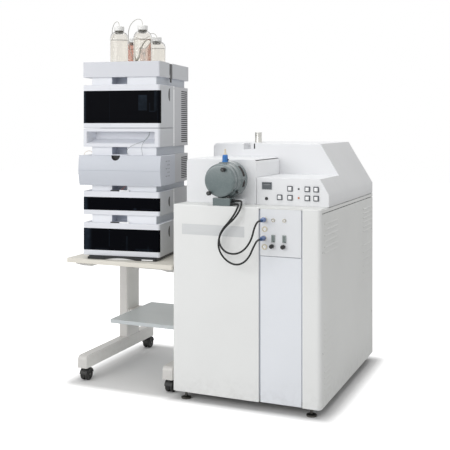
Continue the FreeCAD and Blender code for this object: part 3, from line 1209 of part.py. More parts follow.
def bottle_profile(height):
    # Half section of a bottle: straight body, round shoulder and a short neck.
    shoulder = height * SHOULDER_SHARE
    throat = shoulder + BOTTLE_RADIUS - NECK_RADIUS
    bend = BOTTLE_RADIUS - NECK_RADIUS
    inner_bend = bend * math.sqrt(0.5)
    wall = BOTTLE_WALL
    base = 6.0
    return [(0, 0), (BOTTLE_RADIUS - base, 0), (BOTTLE_RADIUS, base), (BOTTLE_RADIUS, shoulder),
            ((NECK_RADIUS + inner_bend, shoulder + inner_bend), (NECK_RADIUS, throat)),
            (NECK_RADIUS, height), (NECK_RADIUS - wall, height), (NECK_RADIUS - wall, throat - wall),
            (NECK_RADIUS - wall + inner_bend, shoulder - wall + inner_bend - 2),
            (BOTTLE_RADIUS - wall, shoulder - wall - 4), (BOTTLE_RADIUS - wall, base + wall),
            (BOTTLE_RADIUS - base - wall, wall), (0, wall)]


def solvent_profile(height):
    # What fills a bottle to its fill height, just clear of the glass.
    radius = BOTTLE_RADIUS - BOTTLE_WALL - FACE_GAP
    low = BOTTLE_WALL + FACE_GAP
    full = height * FILL_SHARE
    return [(0, low), (radius - 6, low), (radius, low + 6), (radius, full), (0, full)]


def bottles():
    floor = TRAY_BOTTOM + TRAY_FLOOR
    solids = []
    for places, height in ((TALL_BOTTLES, TALL_HEIGHT), (SHORT_BOTTLES, SHORT_HEIGHT)):
        for x, y in places:
            solids.append(revolved(bottle_profile(height), (x, y, floor), (0, 0, 1)))
            solids.append(revolved(solvent_profile(height), (x, y, floor), (0, 0, 1)))
    return solids


def bottle_caps():
    floor = TRAY_BOTTOM + TRAY_FLOOR
    solids = []
    for places, height in ((TALL_BOTTLES, TALL_HEIGHT), (SHORT_BOTTLES, SHORT_HEIGHT)):
        for x, y in places:
            top = height + 3
            low = top - CAP_HEIGHT
            clear = NECK_RADIUS + FACE_GAP
            hole = TUBE_DIAMETER / 2 + CAP_CLEAR
            profile = [(hole, height), (clear, height), (clear, low), (CAP_RADIUS, low),
                       (CAP_RADIUS, top - 2), (CAP_RADIUS - 2, top), (hole, top)]
            solids.append(revolved(profile, (x, y, floor), (0, 0, 1)))
    return solids


# Cords

def tube(points, diameter, name):
    # Straight runs joined by tangent arcs, each as large as its two runs allow.
    pts = [Vec(*p) for p in points]
    edges = []
    radii = []
    last = pts[0]
    for k in range(1, len(pts) - 1):
        before, after = pts[k] - pts[k - 1], pts[k + 1] - pts[k]
        turn = before.getAngle(after)
        trim = 0.45 * min(before.Length, after.Length)
        radii.append(trim / math.tan(turn / 2))
        enter = pts[k] - before.normalize() * trim
        leave = pts[k] + after.normalize() * trim
        centre_way = (after - before).normalize()
        bow = pts[k] + centre_way * (radii[-1] / math.cos(turn / 2) - radii[-1])
        edges.append(Part.makeLine(last, enter))
        edges.append(Part.Arc(enter, bow, leave).toShape())
        last = leave
    edges.append(Part.makeLine(last, pts[-1]))
    path = Part.Wire(edges)
    circle = Part.Circle(pts[0], pts[1] - pts[0], diameter / 2)
    section = Part.Wire([circle.toShape()])
    solid = path.makePipeShell([section], True, False)
    share = solid.Volume / (math.pi * diameter ** 2 / 4 * path.Length)
    bends = [round(r) for r in radii]
    print(name, "length", round(path.Length), "radii", bends, "volume share", round(share, 4))
    return [solid]


def cable_plugs():
    plugs = []
    front = CONNECTOR_SETBACK - 4
    for (x, z), route in zip(PLUG_PLACES, (UPPER_CABLE, LOWER_CABLE)):
        end = route[-1][1]
        profile = [(0, front), (PLUG_RADIUS, front), (PLUG_RADIUS, front - 8), (PLUG_RADIUS - 1.5, front - 10),
                   (PLUG_RADIUS - 1.5, front - PLUG_LENGTH + 3), (PLUG_RADIUS - 4, front - PLUG_LENGTH),
                   (6.5, front - PLUG_LENGTH), (5, end), (0, end)]
        plugs.append(revolved(profile, (x, 0, z), (0, 1, 0)))
    return plugs


def solvent_routes():
    # From each cap, up and over, down between the bottles and into the tray's grommet.
    floor = TRAY_BOTTOM + TRAY_FLOOR
    tall = floor + TALL_HEIGHT + 3
    short = floor + SHORT_HEIGHT + 3
    gx, gy = GROMMET
    end = floor + GROMMET_HEIGHT
    (ax, ay), (bx, by) = TALL_BOTTLES
    (cx, cy), (dx, dy) = SHORT_BOTTLES
    sx, sy = SIDE_GROMMET
    first = [(ax, ay, tall), (ax, ay, tall + 14), (ax - 14, ay + 10, tall + 27), (ax - 36, ay + 24, tall + 19),
             (ax - 52, ay + 38, tall - 9), (ax - 59, ay + 52, tall - 48), (ax - 62, ay + 66, tall - 92),
             (ax - 69, ay + 77, tall - 140), (sx + 1, sy - 2, tall - 188), (sx, sy, end + 22), (sx, sy, end)]
    second = [(bx, by, tall), (bx - 4, by + 6, tall + 22), (bx - 26, by + 22, tall + 36),
              (bx - 58, by + 42, tall + 32), (bx - 88, by + 58, tall + 10), (bx - 102, by + 70, tall - 30),
              (bx - 100, by + 78, tall - 74), (bx - 92, by + 84, tall - 120), (bx - 78, by + 89, tall - 164),
              (bx - 64, by + 93, tall - 205), (gx, gy - 6, end + 16), (gx, gy - 6, end)]
    third = [(cx, cy, short), (cx + 1, cy - 4, short + 14), (cx + 14, cy - 18, short + 22),
             (cx + 34, cy - 40, short + 6), (cx + 46, cy - 60, short - 28), (cx + 50, cy - 74, short - 68),
             (cx + 53, cy - 82, short - 112), (gx - 3, gy + 8, short - 156), (gx, gy + 6, end + 18),
             (gx, gy + 6, end)]
    fourth = [(dx, dy, short), (dx - 3, dy - 5, short + 14), (dx - 18, dy - 20, short + 20),
              (dx - 38, dy - 42, short + 2), (dx - 50, dy - 58, short - 34), (dx - 54, dy - 68, short - 76),
              (dx - 57, dy - 74, short - 120), (gx + 9, gy + 1, short - 162), (gx + 6, gy, end + 16),
              (gx + 6, gy, end)]
    return [first, second, third, fourth]


def capillary_route():
    mouth = SAMPLER_BOTTOM + RECESS_TOP
    x = MODULE_WIDTH - 52
    land = OVEN_TOP + 1
    return [(x, 10, mouth - 1), (x + 3, 6, mouth - 14), (x - 4, 0, mouth - 30), (x - 24, -6, mouth - 44),
            (x - 54, -8, mouth - 54), (x - 84, -8, mouth - 66), (x - 104, -7, mouth - 84),
            (x - 106, -2, mouth - 99), (x - 105, 6, land + 8), (x - 105, 8, land)]


def main():
    write("cabinet_frame", cabinet_frame())
    write("levelling_feet", levelling_feet())
    write("front_left_panel", front_left_panel())
    write("front_right_panel", front_right_panel())
    write("connector_panel", connector_panel())
    write("lower_centre_panel", lower_centre_panel())
    write("side_panels", side_panels())
    write("rear_panel", rear_panel())
    write("hood_cover", hood_cover())
    write("top_port", top_port())
    write("source_plate", source_plate())
    write("source_housing", source_housing())
    write("source_cover", source_cover())
    for name, (dx, dz) in zip(("upper", "lower"), KNOB_OFFSETS):
        write("source_knob_" + name, source_knob(dx, dz))
    write("sprayer", sprayer())
    write("control_panel", control_panel())
    write("switch_bezels", switch_bezels())
    for k, (x, z) in enumerate(SWITCH_PLACES):
        write("button_%d" % (k + 1), button(x, z))
    write("panel_fittings", panel_fittings())
    for name, (x, z) in zip(("left", "right"), VALVE_PLACES):
        write("valve_knob_" + name, valve_knob(x, z))
    write("vacuum_chamber", vacuum_chamber())
    write("electronics_rack", electronics_rack())
    write("tabletop", tabletop())
    write("table_frame", table_frame())
    write("lower_shelf", lower_shelf())
    for side, x in zip(("left", "right"), LEG_XS):
        for end, y in zip(("front", "back"), CASTOR_YS):
            write("castor_fork_" + side + "_" + end, castor_fork(x + LEG_WIDTH / 2, y))
            write("castor_wheel_" + side + "_" + end, castor_wheel(x + LEG_WIDTH / 2, y))
    write("pump_case", pump_case(), True)
    write("pump_cover", pump_cover(), True)
    write("degasser_case", degasser_case(), True)
    write("degasser_cover", degasser_cover(), True)
    write("oven_case", oven_case(), True)
    write("oven_flap", oven_flap(), True)
    write("sampler_case", sampler_case(), True)
    write("sampler_cover", sampler_cover(), True)
    write("solvent_tray", solvent_tray(), True)
    write("bottles", bottles(), True)
    write("bottle_caps", bottle_caps(), True)
    write("cable_upper", tube(UPPER_CABLE, CABLE_DIAMETER, "cable_upper"))
    write("cable_lower", tube(LOWER_CABLE, CABLE_DIAMETER, "cable_lower"))
    write("cable_plugs", cable_plugs())
    for k, route in enumerate(solvent_routes()):
        name = "solvent_tube_%d" % (k + 1)
        write(name, tube(route, TUBE_DIAMETER, name), True)
    write("capillary", tube(capillary_route(), CAPILLARY_DIAMETER, "capillary"), True)


main()
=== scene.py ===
# Liquid chromatograph mass spectrometer: the looks of the cabinet, its ion source and console,
# the wheeled table and the stack of modules with its solvent bottles.
import json
import math
import bmesh
import bpy
import numpy as np
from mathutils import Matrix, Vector

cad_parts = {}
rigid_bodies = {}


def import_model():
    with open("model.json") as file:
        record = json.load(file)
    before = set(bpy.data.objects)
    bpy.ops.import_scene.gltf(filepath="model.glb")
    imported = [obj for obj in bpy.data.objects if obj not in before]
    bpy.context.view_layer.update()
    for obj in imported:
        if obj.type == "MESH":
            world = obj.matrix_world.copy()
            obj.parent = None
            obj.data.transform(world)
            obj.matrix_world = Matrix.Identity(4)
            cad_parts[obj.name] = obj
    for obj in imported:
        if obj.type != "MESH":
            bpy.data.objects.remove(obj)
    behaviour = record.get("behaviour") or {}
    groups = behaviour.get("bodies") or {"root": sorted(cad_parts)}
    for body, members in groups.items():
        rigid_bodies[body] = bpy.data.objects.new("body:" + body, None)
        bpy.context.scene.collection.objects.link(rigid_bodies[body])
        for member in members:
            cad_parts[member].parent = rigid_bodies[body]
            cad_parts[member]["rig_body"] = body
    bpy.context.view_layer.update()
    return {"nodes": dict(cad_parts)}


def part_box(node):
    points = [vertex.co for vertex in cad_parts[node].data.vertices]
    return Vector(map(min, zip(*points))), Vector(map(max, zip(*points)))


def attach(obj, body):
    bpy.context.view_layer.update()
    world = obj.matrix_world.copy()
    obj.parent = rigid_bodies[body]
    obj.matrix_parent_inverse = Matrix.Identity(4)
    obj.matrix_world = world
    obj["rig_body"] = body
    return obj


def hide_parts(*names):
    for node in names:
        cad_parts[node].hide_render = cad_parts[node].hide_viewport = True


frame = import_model()
mm = 0.001
cabinetCorner = (50.7, 38.0, 0.0)  # the front left foot's place in the cabinet's own millimetres
stackSpot = {"corner": (-474.3, 17.4), "table": 590.0, "turn": 8.0, "width": 378.0}
levels = {"degasser": (205.0, 315.0), "oven": (342.0, 481.0), "sampler": (520.0, 807.0), "tray": (843.0, 914.0)}
halfWidth = stackSpot["width"] / 2


def cabinetPoints(points):
    # Cabinet millimetres to metres in the frame: the corner is taken off, then scaled.
    return (np.asarray(points, float) - cabinetCorner) * mm


def stackPoints(points):
    # Stack millimetres to metres in the frame: turned about the vertical, then set on the table.
    points = np.asarray(points, float)
    turn = math.radians(stackSpot["turn"])
    x = stackSpot["corner"][0] + points[..., 0] * math.cos(turn) - points[..., 1] * math.sin(turn)
    y = stackSpot["corner"][1] + points[..., 0] * math.sin(turn) + points[..., 1] * math.cos(turn)
    return cabinetPoints(np.stack([x, y, points[..., 2] + stackSpot["table"]], -1))


def cabinetLocal(points):
    # Frame metres back to cabinet millimetres.
    return np.asarray(points, float) / mm + cabinetCorner


def stackLocal(points):
    # Frame metres back to stack millimetres: off the table's spot, then turned back.
    points = cabinetLocal(points)
    turn = math.radians(stackSpot["turn"])
    x, y = points[..., 0] - stackSpot["corner"][0], points[..., 1] - stackSpot["corner"][1]
    return np.stack([x * math.cos(turn) + y * math.sin(turn), y * math.cos(turn) - x * math.sin(turn),
                     points[..., 2] - stackSpot["table"]], -1)


# Materials

class Wire:
    # A socket of a material's tree. Sums on wires add Math nodes.
    def __init__(self, tree, socket=None):
        self.tree = tree
        self.socket = socket

    def node(self, kind, settings=None, inputs=None, output=0):
        made = self.tree.nodes.new("ShaderNode" + kind)
        for name, value in (settings or {}).items():
            setattr(made, name, value)
        for key, value in (inputs or {}).items():
            if isinstance(value, Wire):
                self.tree.links.new(value.socket, made.inputs[key])
            else:
                made.inputs[key].default_value = value
        return Wire(self.tree, made.outputs[output])

    def sibling(self, output):
        return Wire(self.tree, self.socket.node.outputs[output])

    def maths(self, operation, *values):
        return self.node("Math", {"operation": operation}, dict(enumerate([self, *values])))

    def vectorMaths(self, operation, *values, output=0):
        return self.node("VectorMath", {"operation": operation}, dict(enumerate([self, *values])), output)

    def __add__(self, other):
        return self.maths("ADD", other)

    def __mul__(self, other):
        return self.maths("MULTIPLY", other)

    def __rsub__(self, other):
        return self.node("Math", {"operation": "SUBTRACT"}, {0: other, 1: self})

    def ramped(self, low, high):
        # 0 below low, 1 above high and a smooth step between them.
        return self.node("MapRange", {"interpolation_type": "SMOOTHSTEP"},
                         {"Value": self, "From Min": low, "From Max": high})

    def between(self, low, high, soft):
        return self.ramped(low - soft, low + soft) * (1 - self.ramped(high - soft, high + soft))

    def mixed(self, first, second):
        # This wire as the factor between two colours.
        return self.node("Mix", {"data_type": "RGBA"}, {0: self, 6: first, 7: second}, 2)


def linear(red, green, blue):
    # Screen colour from 0 to 255 to the renderer's linear values.
    shares = [c / 255 for c in (red, green, blue)]
    return tuple(c / 12.92 if c <= 0.04045 else ((c + 0.055) / 1.055) ** 2.4 for c in shares) + (1.0,)


def dimmed(colour, share):
    return tuple(c * share for c in colour[:3]) + (1.0,)


def newMaterial(name, fixed):
    # A material with its Principled shader; fixed sets sockets that are the same all over.
    material = bpy.data.materials.new(name)
    material.use_nodes = True
    tree = material.node_tree
    shader = tree.nodes["Principled BSDF"]
    for key, value in fixed.items():
        shader.inputs[key].default_value = value
    return material, shader, Wire(tree).node("TexCoord", output="Object")


def feed(shader, wires):
    for key, wire in wires.items():
        wire.tree.links.new(wire.socket, shader.inputs[key])


def noise(place, scale, detail=2.0, rough=0.5):
    return place.node("TexNoise", None, {"Vector": place, "Scale": scale, "Detail": detail, "Roughness": rough})


def bump(height, depth, strength=1.0):
    return height.node("Bump", None, {"Height": height, "Strength": strength, "Distance": depth})


dustFacts = {"top": (0.03, 0.16), "colour": linear(120, 116, 108), "share": 0.10}


def coated(name, colour, second=None, rough=0.42, grain=650.0, depth=0.00006, fixed=None, speck=None):
    # Painted or moulded skin: fine orange peel, slow drift between two colours, dust low down.
    material, shader, place = newMaterial(name, fixed or {})
    colour = linear(*colour)
    slow = noise(place, 3.2, 3.0).ramped(0.35, 0.75) * 0.5
    skin = slow.mixed(colour, linear(*second) if second else dimmed(colour, 0.94))
    if speck:
        dots = noise(place, speck["scale"], 1.0).ramped(speck["from"], speck["from"] + 0.06)
        skin = dots.mixed(skin, linear(*speck["colour"]))
    height = place.node("SeparateXYZ", None, {0: place}, 2)
    dust = (1 - height.ramped(*dustFacts["top"])) * noise(place, 40.0, 4.0).ramped(0.35, 0.7) * dustFacts["share"]
    feed(shader, {"Base Color": dust.mixed(skin, dustFacts["colour"]),
                  "Roughness": noise(place, 18.0, 3.0) * 0.14 + (rough - 0.07),
                  "Normal": bump(noise(place, grain), depth)})
    return material


def metal(name, colour, rough=0.3, brush=(900.0, 900.0, 30.0), depth=0.00002):
    # Machined metal: fine lines stretched along one direction, and slow tarnish.
    material, shader, place = newMaterial(name, {"Metallic": 1.0})
    colour = linear(*colour)
    lines = noise(place.node("Mapping", None, {"Vector": place, "Scale": brush}), 1.0, 3.0)
    tarnish = noise(place, 60.0, 4.0).ramped(0.4, 0.8)
    feed(shader, {"Base Color": tarnish.mixed(colour, dimmed(colour, 0.8)),
                  "Roughness": lines * 0.16 + (rough - 0.08), "Normal": bump(lines, depth)})
    return material


def stackWires(place):
    # Object coordinates turned back into the stack's own frame, in metres, as x, y and z.
    corner = [c * mm for c in stackSpot["corner"]] + [stackSpot["table"] * mm]
    spot = [c - o * mm for c, o in zip(corner, cabinetCorner)]
    local = place.node("Mapping", {"vector_type": "TEXTURE"},
                       {"Vector": place, "Location": spot, "Rotation": (0, 0, math.radians(stackSpot["turn"]))})
    x = local.node("SeparateXYZ", None, {0: local}, 0)
    return x, x.sibling(1), x.sibling(2)


windowLook = {"base": linear(10, 11, 15), "strip": linear(44, 54, 65), "rough": 0.16, "gloss": 0.01}


def smokedWindow(name, level, strip, extras):
    # Smoked plastic: a paler bluish strip at the left and faint shapes of what is behind it, in the
    # stack's millimetres.
    material, shader, place = newMaterial(name, {"Specular IOR Level": windowLook["gloss"]})
    x, y, z = stackWires(place)
    low, high = [v * mm for v in level]
    fade = 1 - x.ramped(strip[1] * 0.4 * mm, strip[1] * mm)
    mask = x.ramped((strip[0] - 1) * mm, (strip[0] + 1) * mm) * fade * z.between(low, high, 0.001) * 0.8
    for x0, x1, z0, z1, weight in extras:
        mask = mask + x.between(x0 * mm, x1 * mm, 0.0012) * z.between(z0 * mm, z1 * mm, 0.0012) * weight
    patches = noise(place, 30.0).ramped(0.3, 0.8) * 0.5 + 0.5
    smears = noise(place, 26.0, 5.0).ramped(0.45, 0.8) * 0.10 + windowLook["rough"]
    feed(shader, {"Base Color": (mask * patches).mixed(windowLook["base"], windowLook["strip"]), "Roughness": smears})
    return material


def bottleGlass(name, tint, bend):
    # Blown glass with a slightly uneven wall; bend is its refractive index.
    material, shader, place = newMaterial(name, {"Transmission Weight": 1.0, "IOR": bend})
    film = noise(place, 90.0, 3.0).ramped(0.5, 0.9)
    feed(shader, {"Base Color": film.mixed(tint, dimmed(tint, 0.93)), "Roughness": film * 0.04 + 0.01,
                  "Normal": bump(noise(place, 22.0), 0.0004)})
    return material


def cordSkin(name, colour, rough):
    material, shader, place = newMaterial(name, {})
    colour = linear(*colour)
    fine = noise(place, 1400.0)
    feed(shader, {"Base Color": noise(place, 25.0, 3.0).mixed(colour, dimmed(colour, 0.8)),
                  "Roughness": fine * 0.2 + (rough - 0.1), "Normal": bump(fine, 0.00005)})
    return material


print("materials")
moulded = {"grain": 1400.0, "depth": 0.00004}
looks = {
    "cabinet": coated("cabinetPaint", (232, 233, 232)),
    "centre": coated("centrePanelPaint", (229, 232, 237)),
    "connector": coated("connectorPanelPaint", (229, 231, 234)),
    "side": coated("sidePaint", (226, 227, 225)),
    "hood": coated("hoodSkin", (237, 238, 240), rough=0.4),
    # the hood's leaning right side: the hood's skin darker, as painted shade
    "hoodSide": coated("hoodSideSkin", (217, 218, 219), rough=0.4),
    "stripe": coated("stripeGrey", (211, 213, 214), rough=0.5),
    "rear": coated("rearPaint", (222, 223, 222)),
    "module": coated("moduleSkin", (226, 228, 234), rough=0.48, **moulded),
    # the outer sides of the modules and the tray: the module skin darker, as painted shade
    "moduleSide": coated("moduleSideSkin", (198, 200, 203), rough=0.5, **moulded),
    "oven": coated("ovenSkin", (200, 204, 212), rough=0.45, **moulded),
    "case": coated("caseMetal", (196, 197, 200), rough=0.5),
    "light": coated("lightStrip", (250, 251, 252), rough=0.4),
    "neck": coated("neckSkin", (240, 242, 247), rough=0.5),
    # the sides of the necks: the neck skin darker and bluer, as painted shade
    "neckSide": coated("neckSideSkin", (204, 209, 216), rough=0.5),
    "tray": coated("traySkin", (212, 214, 220), rough=0.46, **moulded),
    "enamel": coated("sourceEnamel", (104, 117, 118), (94, 107, 108), rough=0.2, grain=420.0, depth=0.0001,
                     fixed={"Coat Weight": 0.7, "Coat Roughness": 0.09},
                     speck={"scale": 620.0, "from": 0.62, "colour": (142, 153, 154)}),
    "blackPlastic": coated("blackPlastic", (26, 27, 29), rough=0.38, grain=1800.0),
    "switch": coated("switchBezel", (84, 88, 94), rough=0.4, grain=1800.0),
    "cap": coated("switchCap", (244, 245, 246), rough=0.35, grain=1800.0),
    "white": coated("capWhite", (238, 238, 236), rough=0.4, grain=1600.0),
    "sprayer": coated("sprayerBlue", (58, 124, 196), rough=0.35, grain=1500.0),
    "tip": coated("tipTan", (222, 212, 192), rough=0.4, grain=1500.0),
    "laminate": coated("tableLaminate", (226, 222, 212), (219, 215, 204), rough=0.45, grain=240.0, depth=0.00005,
                       speck={"scale": 420.0, "from": 0.66, "colour": (206, 201, 190)}),
    "legs": coated("tableSteel", (214, 212, 209), rough=0.4),
    # the table frame's right-facing faces: its paint lighter, as painted light
    "legSide": coated("tableSteelSide", (252, 251, 248), rough=0.4),
    "shelf": coated("shelfGrey", (203, 209, 211), rough=0.45, grain=240.0),
    "display": coated("displayGrey", (128, 134, 138), rough=0.25, grain=2200.0),
    "displayDark": coated("displayTop", (50, 53, 58), rough=0.25, grain=2200.0),
    "amberLamp": coated("amberLamp", (196, 106, 48), rough=0.25),
    # pale strips deep in the panel gaps: painted shade, paler than the gaps' own
    "seal": coated("gapSeal", (176, 181, 192), rough=0.6),
    # the walls of a neck's hollow: bluish grey, as painted shade
    "hollow": coated("neckHollow", (205, 210, 221), rough=0.6),
    "rack": coated("rackSteel", (150, 152, 155), rough=0.4),
    "knob": coated("knobDark", (22, 23, 24), rough=0.42, grain=1500.0),
    "knobFace": coated("knobFace", (72, 76, 76), rough=0.3, grain=1500.0),
    # the ring's slots: dark brown patches of painted shade
    "slotBrown": coated("slotShade", (30, 24, 21), rough=0.6),
    # dark fill of slots, holes and openings as painted shade; also the own dark of the strip screws and the flap's hold
    "slotDark": coated("slotDark", (24, 25, 27), rough=0.6),
    "sprayerDark": coated("sprayerNavy", (28, 44, 78), rough=0.4, grain=1500.0),
    # the switch lenses' own white, also used as painted light on the source plate's right side
    "lens": coated("capLens", (250, 251, 252), rough=0.2, grain=2200.0, depth=0.00001),
    "displayGlass": coated("displayGlass", (98, 103, 106), (90, 95, 98), rough=0.16, grain=2600.0, depth=0.00001),
    "lampDark": coated("lampDark", (58, 66, 66), rough=0.2),
    "meter": coated("meterGrey", (142, 151, 149), rough=0.4, grain=1500.0),
    "meterGlass": coated("meterWindow", (124, 135, 134), rough=0.15, grain=1500.0, depth=0.00001),
    "castor": coated("castorBlack", (19, 20, 21), rough=0.5, grain=900.0),
    "collar": coated("bottleCollar", (132, 130, 122), rough=0.3),
    "zinc": metal("zincSteel", (150, 150, 148), 0.35),
    "foot": metal("footSteel", (96, 94, 90), 0.4),
    "plug": metal("plugBluishMetal", (132, 148, 186), 0.28),
    "boot": metal("bootBlueMetal", (70, 92, 130), 0.35),
    "socket": metal("socketNickel", (206, 202, 190), 0.25),
    "pipe": metal("pipeAluminium", (214, 213, 208), 0.38, (40.0, 40.0, 900.0)),
    "chamber": metal("chamberAluminium", (196, 198, 200), 0.35),
    "ring": metal("ringBeigeNickel", (214, 207, 188), 0.3),
    "blackCord": cordSkin("cableBlack", (13, 14, 15), 0.6),
    "clearTube": cordSkin("tubeClear", (206, 204, 196), 0.3),
    "tanTube": cordSkin("drainTan", (196, 168, 128), 0.4),
    "orangeTube": cordSkin("drainOrange", (206, 96, 62), 0.4),
    "greenTube": cordSkin("capillaryGreen", (128, 138, 134), 0.35),
    "clearGlass": bottleGlass("clearGlass", (0.90, 0.885, 0.855, 1.0), 1.3),
    "amberGlass": bottleGlass("amberGlass", (0.75, 0.56, 0.50, 1.0), 1.3),
    "solvent": bottleGlass("solventClear", (0.955, 0.945, 0.925, 1.0), 1.12),
}
looks.update({
    "pump_cover": smokedWindow("pumpWindow", (41, 142), (4, 49),
                               [(130, 134, 60, 138, 0.25), (215, 223, 44, 110, 0.25), (262, 345, 42, 54, 0.25),
                                (60, 130, 42, 50, 0.2), (320, 326, 44, 66, 0.3)]),
    "degasser_cover": smokedWindow("degasserWindow", (227, 287), (4, 30),
                                   [(140, 220, 229, 232, 0.3), (252, 266, 230, 239, 0.4),
                                    (290, 345, 234, 237, 0.25)]),
    "sampler_cover": smokedWindow("samplerWindow", (630, 780), (4, 18),
                                  [(275, 317, 688, 759, 0.55), (329, 332, 684, 723, 0.4), (329, 358, 682, 686, 0.4),
                                   (352, 364, 686, 779, 0.35), (133, 135, 630, 779, 0.2),
                                   (369, 371.5, 632, 779, 0.3)]),
})


# Mesh tools

sharpAngle = math.radians(36)
flatAngle = math.radians(0.8)
onCut = 1e-5  # a corner this near a cut, in metres, counts as on it, so that no sliver is left beside it


def settled(name, data, body, replaced):
    # An object of a mesh or curve, riding on its body in place of the nodes that it replaces.
    piece = bpy.data.objects.new(name, data)
    bpy.context.scene.collection.objects.link(piece)
    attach(piece, body)
    if replaced:
        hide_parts(*replaced)
    return piece


def finishPiece(name, skin, finish, slot, body="root", replaced=(), place=cabinetPoints, solid=0.0):
    # Puts one skin or a list of them into an object, with its seams and poles closed.
    points, faces = joined(skin) if isinstance(skin, list) else skin
    mesh = bpy.data.meshes.new(name)
    mesh.from_pydata(place(points).reshape(-1, 3).tolist(), [], [list(f) for f in faces])
    work = bmesh.new()
    work.from_mesh(mesh)
    bmesh.ops.remove_doubles(work, verts=work.verts, dist=2e-6)
    bmesh.ops.recalc_face_normals(work, faces=work.faces)
    work.to_mesh(mesh)
    work.free()
    mesh.materials.append(looks[finish])
    mesh.shade_smooth()
    mesh.set_sharp_from_angle(angle=sharpAngle)
    piece = settled(name, mesh, body, replaced)
    if solid:
        wall = piece.modifiers.new("wall", "SOLIDIFY")
        wall.thickness = solid
        wall.offset = -1.0
    return piece


def stackPiece(*facts, **more):
    return finishPiece(*facts, place=stackPoints, **more)


def bodyOf(node):
    return frame["nodes"][node]["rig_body"]


def gridFaces(rows, columns, closed=True):
    # Quads between neighbouring rows and columns; closed joins the last column to the first.
    r, c = np.meshgrid(np.arange(rows - 1), np.arange(columns if closed else columns - 1), indexing="ij")
    over = (c + 1) % columns
    quads = [r * columns + c, r * columns + over, (r + 1) * columns + over, (r + 1) * columns + c]
    return np.stack(quads, -1).reshape(-1, 4)


def joined(parts):
    # Several (points, faces) pairs as one.
    verts, faces, start = [], [], 0
    for points, quads in parts:
        points = np.asarray(points, float).reshape(-1, 3)
        verts.append(points)
        faces += [[i + start for i in f] for f in quads]
        start += len(points)
    return np.concatenate(verts), faces


def filleted(points, radius, steps=5):
    # Rounds each inner corner of an outline with a quadratic curve trimmed by the radius.
    points = np.asarray(points, float)
    radius = np.broadcast_to(radius, len(points))
    made = [points[:1]]
    t = np.linspace(0, 1, steps)[:, None]
    for k in range(1, len(points) - 1):
        before, after = points[k - 1] - points[k], points[k + 1] - points[k]
        a = points[k] + before * min(0.49, radius[k] / max(np.linalg.norm(before), 1e-9))
        b = points[k] + after * min(0.49, radius[k] / max(np.linalg.norm(after), 1e-9))
        made.append((1 - t) ** 2 * a + 2 * t * (1 - t) * points[k] + t ** 2 * b)
    made.append(points[-1:])
    return np.concatenate(made)


def lathed(profile, start, axis, around=48, flutes=0, depth=0.0, span=None):
    # Radius r at distance d along the axis, turned all round; flutes cut r by depth where d is in span.
    profile = np.asarray(profile, float)
    axis = Vector(axis).normalized()
    side = axis.orthogonal().normalized()
    other = axis.cross(side)
    angle = np.linspace(0, 2 * math.pi, around, endpoint=False)[None, :]
    r, d = profile[:, :1], profile[:, 1:]
    if flutes:
        inside = (d >= span[0]) & (d <= span[1])
        r = r - inside * depth * (0.5 + 0.5 * np.cos(flutes * angle)) ** 2
    r = r + 0 * angle
    points = (np.asarray(start, float) + r[..., None] * (np.cos(angle)[..., None] * np.array(side)
              + np.sin(angle)[..., None] * np.array(other)) + (d + 0 * angle)[..., None] * np.array(axis))
    return points, gridFaces(len(profile), around)


def turned(points, radius, start, axis, around):
    # A lathed skin of an outline with rounded corners.
    return lathed(filleted(points, radius), start, axis, around)


def slabSkin(low, high, radius, round, across=7):
    # A rounded plate: its outline, pulled in over the front edge, between two rows at its middle.
    (x0, y0, z0), (x1, y1, z1) = low, high
    angle = np.linspace(0, 2 * math.pi, 4 * across, endpoint=False)
    way = np.stack([np.cos(angle), np.sin(angle)], -1)
    half = np.array([(x1 - x0) / 2, (z1 - z0) / 2])
    corner = np.sign(way) * (half - radius) + radius * way
    rows = []
    steps = [(y0 + round * (1 - math.sin(t)), 1 - round * (1 - math.cos(t)) / half)
             for t in np.linspace(0, math.pi / 2, 5)]
    for y, share in [(y1, 0), (y1, 1), *steps, (y0, 0)]:
        outline = np.array([(x0 + x1) / 2, (z0 + z1) / 2]) + corner * share
        rows.append(np.column_stack([outline[:, 0], np.full(len(angle), y), outline[:, 1]]))
    return np.array(rows), gridFaces(len(rows), len(angle))


def partedSolids(node):
    # A CAD node's triangles merged where they meet and parted into its separate solids.
    mesh = frame["nodes"][node].data
    points = np.zeros(len(mesh.vertices) * 3)
    mesh.vertices.foreach_get("co", points)
    mesh.calc_loop_triangles()
    triangles = np.zeros(len(mesh.loop_triangles) * 3, int)
    mesh.loop_triangles.foreach_get("vertices", triangles)
    keys, index = np.unique(np.round(points.reshape(-1, 3), 6), axis=0, return_inverse=True)
    faces = index.reshape(-1)[triangles].reshape(-1, 3)
    faces = faces[(faces[:, 0] != faces[:, 1]) & (faces[:, 1] != faces[:, 2]) & (faces[:, 0] != faces[:, 2])]
    labels = np.arange(len(keys))
    while True:
        lower = labels.copy()
        np.minimum.at(lower, faces.ravel(), np.repeat(labels[faces].min(1), 3))
        lower = lower[lower]
        if (lower == labels).all():
            break
        labels = lower
    solids = []
    for label in np.unique(labels[faces[:, 0]]):
        used, renumbered = np.unique(faces[labels[faces[:, 0]] == label], return_inverse=True)
        solids.append((keys[used], renumbered.reshape(-1, 3)))
    return solids


